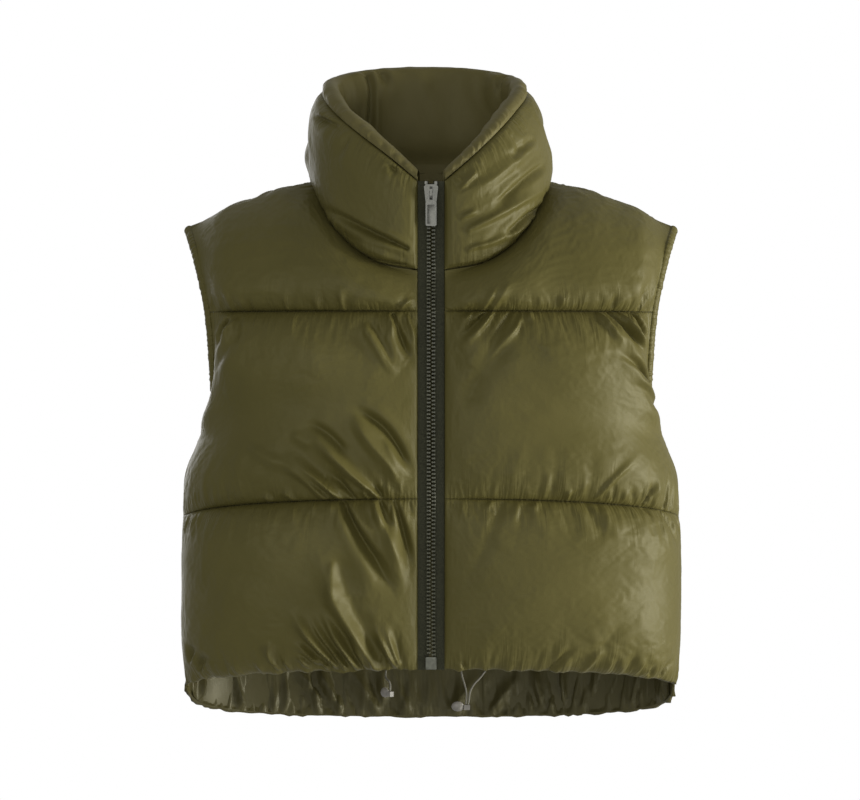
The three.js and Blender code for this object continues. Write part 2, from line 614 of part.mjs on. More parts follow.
// The back's lining, a thin wall that follows the plain inside of the three back panels
function liningGeometry() {
  const bothEnds = { first: true, last: true };
  const plainRows = ['lower', 'chest', 'yoke'].flatMap((kind, i) =>
    everyOther(backGrids[kind].map((line) => trimmedEnds(line, bothEnds))).slice(i ? 1 : 0));
  const outer = shifted(plainRows, () => -WALL / 2 - LINING.gap);
  const inner = shifted(plainRows, () => -WALL / 2 - LINING.gap - LINING.thickness);
  const columns = outer[0].length;
  const innerStart = outer.length * columns;
  const triangles = [];
  const quad = (a, b, c, d) => triangles.push([a, b, c], [a, c, d]);
  const at = (row, column) => row * columns + column;
  for (let row = 0; row < outer.length - 1; row += 1) {
    for (let column = 0; column < columns - 1; column += 1) {
      const cell = [at(row, column), at(row, column + 1), at(row + 1, column + 1), at(row + 1, column)];
      quad(...cell);
      quad(...cell.map((corner) => corner + innerStart).reverse());
    }
  }
  const border = [
    ...Array.from({ length: columns - 1 }, (_, i) => at(0, i)),
    ...Array.from({ length: outer.length - 1 }, (_, i) => at(i, columns - 1)),
    ...Array.from({ length: columns - 1 }, (_, i) => at(outer.length - 1, columns - 1 - i)),
    ...Array.from({ length: outer.length - 1 }, (_, i) => at(outer.length - 1 - i, 0)),
  ];
  border.forEach((corner, i) => {
    const next = border[(i + 1) % border.length];
    quad(next, corner, corner + innerStart, next + innerStart);
  });
  return closedGeometry([...outer.flat(), ...inner.flat()], triangles);
}
addMesh('back_lining', liningGeometry(), COLOURS.lining);

// The collar, from the wearer's right front edge round the back to the left one
const COLLAR_COLUMNS = 40;
const COLLAR_ROWS = 6;
const COLUMN_CROWDING = 0.2;
const ROW_CROWDING = 0.6;
function collarCurve(column, lean) {
  const half = COLLAR.map((row) => vector(row[column]));
  const points = [...half.map((p) => mirrored(p, -1)), ...half.slice(0, -1).reverse()];
  points.forEach((p) => p.setX(p.x + lean * smoothstep((p.y - half[0].y) / LEAN_DEPTH)));
  return curveThrough(points);
}
const neckCurve = collarCurve('neck', 0);
const rimCurve = collarCurve('rim', COLLAR_LEAN);
const sagAt = (u) => {
  const place = (1 - Math.abs(2 * u - 1)) * (COLLAR.length - 1);
  const row = Math.min(Math.floor(place), COLLAR.length - 2);
  return THREE.MathUtils.lerp(COLLAR[row].sag, COLLAR[row + 1].sag, place - row);
};

function collarFrame(u) {
  const neck = neckCurve.getPoint(u);
  const rim = rimCurve.getPoint(u);
  const out = neck.clone().lerp(rim, 0.5).sub(vector(NECK_CENTRE)).setZ(0).normalize();
  return { neck, rim, out };
}

// The collar's neck edge stands clear of the yokes' thickness, which turns from level to upright
const NECK_CLEARANCE = { level: 1.1, upright: 0.4 };
const neckClearance = (neck) =>
  NECK_CLEARANCE.level + (WALL / 2 + NECK_CLEARANCE.upright) * Math.abs(outward(neck).z);

function collarGeometry() {
  const columns = spacing(COLLAR_COLUMNS, COLUMN_CROWDING);
  const rows = spacing(COLLAR_ROWS, ROW_CROWDING);
  const { length, height } = COLLAR_SPREAD;
  const spread = ([along, up]) => [along * length, up * height];
  const creases = COLLAR_CREASES.map(({ from, to, ...rest }) =>
    ({ from: spread(from), to: spread(to), ...rest }));
  const grid = rows.map((t) => columns.map((u) => {
    const { neck, rim, out } = collarFrame(u);
    const start = neck.clone().setZ(neck.z + neckClearance(neck));
    const edge = Math.min(u, 1 - u) * length;
    const puff = COLLAR_PUFF * rise(t * height, COLLAR_RISE) * rise((1 - t) * height, COLLAR_RISE)
      * rise(edge, COLLAR_RISE);
    const folds = creases.reduce((sum, crease) => sum + creaseLift(crease, u * length, t * height), 0);
    const sag = sagAt(u) * smoothstep(t / COLLAR_SAG.start)
      * (1 - smoothstep((t - COLLAR_SAG.from) / COLLAR_SAG.over));
    const point = start.lerp(rim, t);
    const lift = puff + folds * smoothstep((COLLAR_FOLD_GAIN * puff) / COLLAR_PUFF);
    return { point, out, lift: Math.max(lift, 0), sag };
  }));
  const face = grid.map((line) => line.map(({ point, out, lift, sag }) =>
    point.clone().addScaledVector(out, WALL / 2 + lift).setZ(point.z - sag)));
  const inside = everyOther(grid).map((line) => line.map(({ point, out }) =>
    point.clone().addScaledVector(out, -WALL / 2)));
  return wallGeometry(face, inside);
}
addMesh('collar_shell', collarGeometry(), COLOURS.shell);

function facingGeometry() {
  const columns = spacing(COLLAR_COLUMNS, COLUMN_CROWDING);
  const sectionPoint = (u, { down, inward, up }) => {
    const { neck, rim, out } = collarFrame(u);
    const start = neck.clone().setZ(neck.z + neckClearance(neck));
    const place = rim.clone().lerp(start, down).addScaledVector(out, -inward);
    return place.setZ(place.z + up);
  };
  const face = FACING_FACE.map((row) => columns.map((u) => sectionPoint(u, row)));
  const back = FACING_BACK.map((row) => columns.filter(isEven).map((u) => sectionPoint(u, row)));
  return wallGeometry(face, back);
}
addMesh('collar_facing', facingGeometry(), COLOURS.lining);

// The elastic binding round one armhole follows the edges of the panels that it is sewn to, with this
// many steps between two of their points. Each row of its section says how far it lies from the edge, as
// a share of the binding's width, and how far through its thickness.
const BINDING_STEPS = 3;
const BINDING_SECTION = [
  { across: 0.2, through: -0.38 },
  { across: 0.5, through: -0.6 },
  { across: 1, through: -0.3 },
  { across: 1, through: 0.3 },
  { across: 0.5, through: 0.6 },
  { across: 0, through: 0.38 },
];
function armholeLoop() {
  const edge = (grid, column) => grid.map((line) => line.at(column).point);
  const upperHalf = (points) => points.slice((points.length - 1) / 2);
  const corners = [
    ...upperHalf(edge(frontGrids.chest, -1)),
    ...edge(frontGrids.yoke, -1),
    ...edge(backGrids.yoke, 0).reverse(),
    ...upperHalf(edge(backGrids.chest, 0)).reverse(),
  ];
  return corners.flatMap((corner, i) => {
    const next = corners[(i + 1) % corners.length];
    const steps = corner.distanceTo(next) > 2 * SEAM_GAP ? BINDING_STEPS : 0;
    return Array.from({ length: steps }, (_, step) => corner.clone().lerp(next, step / BINDING_STEPS));
  });
}

function bindingGeometry(side) {
  const loop = armholeLoop();
  const count = BINDING_SECTION.length;
  const points = loop.flatMap((edge, i) => {
    const along = loop[(i + 1) % loop.length].clone().sub(loop.at(i - 1)).normalize();
    const reach = new THREE.Vector3().crossVectors(outward(edge), along).normalize();
    if (reach.dot(vector(ARMHOLE_CENTRE).sub(edge).setX(0)) < 0) reach.negate();
    const thick = outward(edge).addScaledVector(along, -outward(edge).dot(along)).normalize();
    const share = i / loop.length;
    const size = BINDING_WAVE.even + BINDING_WAVE.uneven * Math.sin(BINDING_WAVE.slow * share);
    const wave = Math.sin(2 * Math.PI * BINDING_WAVES * share) * size;
    return BINDING_SECTION.map(({ across: over, through }) => mirrored(edge.clone()
      .addScaledVector(reach, BINDING_GAP + over * BINDING_WIDTH * (1 + BINDING_WAVE.width * wave))
      .addScaledVector(thick, through * BINDING_THICKNESS + over * wave * BINDING_WAVE.height), side));
  });
  const triangles = loop.flatMap((_, i) => BINDING_SECTION.flatMap((__, j) => {
    const next = ((i + 1) % loop.length) * count;
    const turn = (j + 1) % count;
    const [a, b, c, d] = [i * count + j, i * count + turn, next + turn, next + j];
    return [[a, b, c], [a, c, d]];
  }));
  return closedGeometry(points, triangles);
}
for (const [sideName, side] of Object.entries(SIDES)) {
  addMesh(`armhole_binding_${sideName}`, bindingGeometry(side), COLOURS.shell);
}

// A strip that follows the zip, between two distances from the middle and two in front of the tape
const ZIP_STEPS = 26;
const SHORTEST_STEP = 0.01;
function zipStrip(inner, outer, front, back, from, to, side) {
  const points = [];
  const steps = Array.from({ length: ZIP_STEPS + 1 }, (_, i) => i / ZIP_STEPS);
  const between = steps.filter((share) => share > from + SHORTEST_STEP && share < to - SHORTEST_STEP);
  const shares = [from, ...between, to];
  const rows = shares.length - 1;
  for (const share of shares) {
    const spine = SEAMS.zip.getPointAt(share);
    for (const [x, forward] of [[inner, front], [outer, front], [outer, back], [inner, back]]) {
      points.push(new THREE.Vector3(side * x, spine.y - forward, spine.z));
    }
  }
  const triangles = [[0, 1, 2], [0, 2, 3]];
  const last = rows * 4;
  triangles.push([last, last + 2, last + 1], [last, last + 3, last + 2]);
  for (let i = 0; i < rows; i += 1) {
    for (let j = 0; j < 4; j += 1) {
      const turn = (j + 1) % 4;
      const [a, b, c, d] = [i * 4 + j, i * 4 + 4 + j, i * 4 + 4 + turn, i * 4 + turn];
      triangles.push([a, b, c], [a, c, d]);
    }
  }
  return closedGeometry(points, triangles);
}

const zipLength = SEAMS.zip.getLength();
const boxShare = (ZIP_BOX.height + 1) / zipLength;
const sliderShare = 1 - SLIDER.drop / zipLength;
const chainEnd = sliderShare - (SLIDER.length / 2 + CHAIN_END_GAP) / zipLength;
for (const [sideName, side] of Object.entries(SIDES)) {
  addMesh(`zip_tape_${sideName}`,
    zipStrip(TAPE.inner, TAPE.outer, TAPE.thickness / 2, -TAPE.thickness / 2, 0, 1, side), COLOURS.tape);
  addMesh(`zip_teeth_${sideName}`,
    zipStrip(CHAIN.inner, CHAIN.outer, CHAIN.front, CHAIN.back, boxShare, chainEnd, side), COLOURS.teeth);
}

function toSolid(geometry) {
  const bare = geometry.clone();
  bare.deleteAttribute('normal');
  bare.deleteAttribute('uv');
  const merged = mergeVertices(bare, 1e-4);
  return new wasm.Manifold(new wasm.Mesh({
    numProp: 3,
    vertProperties: new Float32Array(merged.attributes.position.array),
    triVerts: new Uint32Array(merged.index.array),
  }));
}

function toGeometry(solid) {
  const mesh = solid.getMesh();
  const geometry = new THREE.BufferGeometry();
  geometry.setAttribute('position', new THREE.BufferAttribute(new Float32Array(mesh.vertProperties), 3));
  geometry.setIndex(Array.from(mesh.triVerts));
  return geometry;
}

// A flat piece drawn as seen from the front, x across and y up, between two distances forward
function frontPlate(shape, forwardFrom, forwardTo) {
  const geometry = new THREE.ExtrudeGeometry(shape, {
    depth: forwardTo - forwardFrom, bevelEnabled: false, curveSegments: 4,
  });
  return geometry.rotateX(Math.PI / 2).translate(0, -forwardFrom, 0);
}

// A flat piece drawn as seen from the wearer's left, x backwards and y up, across the middle
function sidePlate(shape, thickness) {
  const geometry = new THREE.ExtrudeGeometry(shape, {
    depth: thickness, bevelEnabled: false, curveSegments: 5,
  });
  const turn = new THREE.Matrix4().makeBasis(
    new THREE.Vector3(0, 1, 0), new THREE.Vector3(0, 0, 1), new THREE.Vector3(1, 0, 0),
  );
  return geometry.translate(0, 0, -thickness / 2).applyMatrix4(turn);
}

function roundedRectangle(width, bottom, top, radius) {
  const shape = new THREE.Shape();
  const half = width / 2;
  shape.moveTo(half, top - radius);
  shape.absarc(half - radius, top - radius, radius, 0, Math.PI / 2);
  shape.absarc(-half + radius, top - radius, radius, Math.PI / 2, Math.PI);
  shape.absarc(-half + radius, bottom + radius, radius, Math.PI, 1.5 * Math.PI);
  shape.absarc(half - radius, bottom + radius, radius, 1.5 * Math.PI, 2 * Math.PI);
  return shape;
}

// The slider, drawn about its own middle on the tape: two plates joined by a post, and the bridge in front
const plateFront = SLIDER.front + SLIDER.plate;
function bridgeSolid() {
  const { thickness, height, bar, foot, sunk, shoulder, bend } = BRIDGE;
  const half = BRIDGE.length / 2;
  const base = -plateFront;
  const arch = new THREE.Shape();
  arch.moveTo(base + sunk, -half);
  arch.lineTo(base + sunk, half);
  arch.lineTo(base - shoulder, half);
  arch.quadraticCurveTo(base - height, half, base - height, half - bend);
  arch.lineTo(base - height, -half + bend);
  arch.quadraticCurveTo(base - height, -half, base - shoulder, -half);
  const gap = new THREE.Shape();
  gap.moveTo(base, -half + foot);
  gap.lineTo(base, half - foot);
  gap.lineTo(base - height + bar, half - foot);
  gap.lineTo(base - height + bar, -half + foot);
  return toSolid(sidePlate(arch, thickness)).subtract(toSolid(sidePlate(gap, thickness + 1)));
}

function sliderGeometry() {
  const half = SLIDER.length / 2;
  const top = SLIDER.topWidth / 2;
  const bottom = SLIDER.bottomWidth / 2;
  const outline = new THREE.Shape([
    new THREE.Vector2(-top, half - SLIDER.chamfer),
    new THREE.Vector2(-top + SLIDER.chamfer, half),
    new THREE.Vector2(top - SLIDER.chamfer, half),
    new THREE.Vector2(top, half - SLIDER.chamfer),
    new THREE.Vector2(bottom, -half),
    new THREE.Vector2(-bottom, -half),
  ]);
  const front = toSolid(frontPlate(outline, SLIDER.front, plateFront));
  const backPlate = -TAPE.thickness / 2 - SLIDER_BACK.behind;
  const back = toSolid(frontPlate(outline, backPlate - SLIDER_BACK.thickness, backPlate));
  const { width, intoBack, intoFront, corner } = SLIDER_POST;
  const postShape = roundedRectangle(width, half - SLIDER_POST.bottom, half - SLIDER_POST.top, corner);
  const post = toSolid(frontPlate(postShape, backPlate - intoBack, SLIDER.front + intoFront));
  return toGeometry(front.add(back).add(post).add(bridgeSolid()));
}

// The pull tab, drawn about the axis of its pin: two ears beside the bridge and a framed tab below
function pullGeometry() {
  const { width, length, thickness, eye, rim, overlap, recess } = PULL;
  const earInner = BRIDGE.thickness / 2 + PULL_SIDE_CLEARANCE;
  const earCentre = earInner + PULL.ear / 2;
  const halfThick = thickness / 2;
  const earHeight = eye + overlap + halfThick;
  const pin = toSolid(new THREE.CylinderGeometry(halfThick, halfThick, 2 * earCentre, 10)
    .rotateZ(Math.PI / 2));
  const ear = (side) => toSolid(new THREE.BoxGeometry(PULL.ear, thickness, earHeight)
    .translate(side * earCentre, 0, halfThick - earHeight / 2));
  const tabShape = roundedRectangle(width, -length, -eye, PULL.corner);
  const tab = toSolid(frontPlate(tabShape, -halfThick, halfThick));
  const recessShape = roundedRectangle(width - 2 * rim, -length + rim, -eye - 2 * rim, PULL.recessCorner);
  const hollow = toSolid(frontPlate(recessShape, halfThick - recess, halfThick + 1));
  return toGeometry(tab.subtract(hollow).add(pin).add(ear(1)).add(ear(-1)));
}

// Places a piece on the zip at a share of its length, a distance in front of the tape, tilted as it runs
function placeOnZip(mesh, share, { across = 0, forward = 0, up = 0 } = {}) {
  const spine = SEAMS.zip.getPointAt(share).setX(0);
  const tangent = SEAMS.zip.getTangentAt(share);
  mesh.rotation.x = Math.atan2(-tangent.y, tangent.z);
  mesh.position.set(across, -forward, up).applyEuler(mesh.rotation).add(spine);
}
placeOnZip(addMesh('zip_slider', sliderGeometry(), COLOURS.metal), sliderShare);
placeOnZip(addMesh('zip_pull', pullGeometry(), COLOURS.metal), sliderShare,
  { forward: plateFront + (BRIDGE.height - BRIDGE.bar) / 2, up: PULL.pinAbove });

const tapeFront = TAPE.thickness / 2;
const boxShape = roundedRectangle(2 * ZIP_BOX.halfWidth, ZIP_BOX.bottom, ZIP_BOX.height, ZIP_BOX.corner);
const boxGeometry = frontPlate(boxShape, tapeFront + ZIP_BOX.behind, ZIP_BOX.front);
placeOnZip(addMesh('zip_box', boxGeometry, COLOURS.metal), 0);
for (const [sideName, side] of Object.entries(SIDES)) {
  const stopShape = roundedRectangle(STOP.width, -STOP.height, 0, STOP.corner);
  const stop = frontPlate(stopShape, tapeFront + STOP.behind, CHAIN.front);
  placeOnZip(addMesh(`zip_top_stop_${sideName}`, stop, COLOURS.metal), 1,
    { across: side * (TAPE.inner + STOP.width / 2 + STOP.across) });
}

// Drawcord ends and the locks that they run into
function cordGeometry(route) {
  const section = new THREE.Shape();
  section.absarc(0, 0, CORD_DIAMETER / 2, 0, 2 * Math.PI);
  return new THREE.ExtrudeGeometry(section, {
    steps: 12, curveSegments: 8, bevelEnabled: false, extrudePath: curveThrough(route.map(vector)),
  });
}
for (const [name, route] of Object.entries(CORDS)) {
  addMesh(name, cordGeometry(route), COLOURS.cord);
}

// A flat oval lock beside the ferrule that the cord runs into from above, drawn about the ferrule's top
const LOCK_STEPS = 6;
function lockGeometry() {
  const profile = Array.from({ length: LOCK_STEPS + 1 }, (_, i) => {
    const angle = -Math.PI / 2 + (Math.PI * i) / LOCK_STEPS;
    return new THREE.Vector2(i % LOCK_STEPS ? Math.cos(angle) : 0, Math.sin(angle));
  });
  const disc = toSolid(new THREE.LatheGeometry(profile, 16)
    .rotateX(Math.PI / 2)
    .scale(LOCK.width / 2, LOCK.thickness / 2, LOCK.height / 2)
    .translate(LOCK_DISC.across, 0, LOCK_DISC.up));
  const ferrule = toSolid(new THREE.BoxGeometry(LOCK.ferrule, LOCK.ferruleDepth, LOCK.ferruleHeight)
    .translate(0, 0, -LOCK.ferruleHeight / 2));
  return toGeometry(disc.add(ferrule));
}
for (const [name, { at, turn }] of Object.entries(LOCKS)) {
  const lock = addMesh(name, lockGeometry(), COLOURS.lock);
  lock.position.set(...at);
  lock.rotation.z = THREE.MathUtils.degToRad(turn);
}

export default group;
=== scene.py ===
import math

import bmesh
import bpy
import numpy as np
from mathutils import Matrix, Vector


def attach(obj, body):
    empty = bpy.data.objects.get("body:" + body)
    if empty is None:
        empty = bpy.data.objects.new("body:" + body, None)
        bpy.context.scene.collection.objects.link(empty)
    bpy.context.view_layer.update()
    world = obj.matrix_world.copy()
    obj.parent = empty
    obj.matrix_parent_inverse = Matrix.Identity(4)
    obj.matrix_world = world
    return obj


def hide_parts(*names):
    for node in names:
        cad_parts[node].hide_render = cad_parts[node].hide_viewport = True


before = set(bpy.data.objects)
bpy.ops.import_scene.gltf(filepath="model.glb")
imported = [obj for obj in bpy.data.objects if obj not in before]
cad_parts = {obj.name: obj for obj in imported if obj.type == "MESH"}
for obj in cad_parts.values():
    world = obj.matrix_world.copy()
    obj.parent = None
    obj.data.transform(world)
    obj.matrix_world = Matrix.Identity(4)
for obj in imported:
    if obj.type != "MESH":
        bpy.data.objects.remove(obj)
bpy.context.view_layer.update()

# Sizes are in millimetres, in the CAD's frame, and become metres where a mesh is made.
MM = 0.001
SEED = 7

# Camera, level with the middle of the photograph's frame
CAMERA_PLACE = (-0.95, -2600, -206.2)
CAMERA_LENS = 114.57
CAMERA_SENSOR = 36

# The garment's rings, edge points and collar sections, the same as in the CAD
SEAM_GAP = 0.3
WALL = 3
ZIP_EDGE = 12.3
RINGS = {
    "hem": dict(half_width=231, front=106, back=90, z_front=-452, z_side=-477, z_back=-518),
    "low": dict(half_width=233, front=113, back=94, z_front=-296, z_side=-319, z_back=-326),
    "high": dict(half_width=225, front=102, back=90, z_front=-125, z_side=-124, z_back=-132),
}
SQUARENESS = 2.4
ARMHOLE_SHARE = 0.51
SHOULDER_TIP = (228, 0, -42)
SHOULDER_MIDDLE = (170, 0, -22)
UNDERARM = (207, 0, -222)
SIDE_WAIST = ((232, 0, -277), (221, 0, -249))
ARMHOLE_FRONT = ((201, -41, -201), (218, -38, -68))
ARMHOLE_BACK = ((203, 40, -201), (220, 37, -68))
COLLAR = (
    ((ZIP_EDGE, -94, -88), (ZIP_EDGE, -97, -6), 3),
    ((50, -86, -80), (37, -90, 16), 5),
    ((80, -66, -57), (62, -75, 39), 2),
    ((99, -36, -24), (82, -48, 61), 2),
    ((106, 0, 0), (94, -12, 81), 1),
    ((95, 37, 10), (87, 32, 95), 1),
    ((57, 59, 18), (53, 57, 104), 1),
    ((0, 66, 21), (0, 65, 107), 1),
)
SHOULDER_ROW = 4
COLLAR_LEAN = -6
COLLAR_PUFF = 12
COLLAR_RISE = 32
COLLAR_LENGTH = 640
COLLAR_HEIGHT = 90
NECK_CENTRE = np.array((0, -14, 0), float)
NECK_CLEARANCE = 1.1
FACING_FACE = ((0, -2.6, 1.4), (0, -2.2, 6), (0, 2, 10), (0, 9, 9.5), (0.02, 14, 4),
               (0.2, 16, 0), (0.45, 15, 0), (0.75, 12, 0), (1, 4.8, 2.5), (1, 4.4, -7))
FACING_BACK = ((0, -1.8, 0.9), (0, 1.9, 0.9), (0.3, 3, 0), (0.65, 3, 0), (1, 3.8, 3), (1, 3.5, -6.4))
PUFFS = {"lower": (24, 46, 2), "chest": (23, 46, 5), "yoke": (15, 36, 16)}
SIDE_RISE = 100
ARMHOLE_RISE = 44
NECK_RISE = 78
NECK_END = 0.5
BACK_NECK = 0.3
CORE_SHARE = 0.75
CORE_TOP = -95
CORE_BLEND = 12
SOFT_POWER = 0.8
NECK_BLEND = {"front": 0.14, "back": 0.08}
ARMHOLE_BLEND = (0.35, 0.2)

# How the padding is shaped beyond the CAD: the base surface is smoothed this many times, and the front panels
# are lower beside the zip
BASE_EASING = 140
ZIP_SLOPE = 0.48
ZIP_SLOPE_WIDTH = 150
FOLD_SHARE = 1.15
LUMP_HEIGHT = 0.35
SIDE_PUCKERS = 0.5
CREST_SHARE = 1.1
CREST_WIDTH = 0.6

# Drawcord ends and the locks that they run into
CORD_DIAMETER = 1.6
CORDS = {
    "drawcord_left_inner": ((27.4, -105.7, -452.6), (28.4, -106.6, -458), (30.4, -108.2, -464.5),
                            (32, -109, -471), (32.4, -109.4, -477.5), (31.6, -109.6, -483.2)),
    "drawcord_left_outer": ((49.6, -104.9, -453.2), (45.4, -106.4, -458.6), (38.8, -108.5, -465.6),
                            (35.4, -109.3, -472.2), (34.6, -109.5, -478), (33.8, -109.6, -483.2)),
    "drawcord_right": ((-41, -105.3, -452.8), (-41.4, -107.2, -456.8), (-40.4, -114.6, -459.4),
                       (-38, -122, -460.9), (-36.8, -126.4, -464.4), (-37, -127, -469.3)),
}

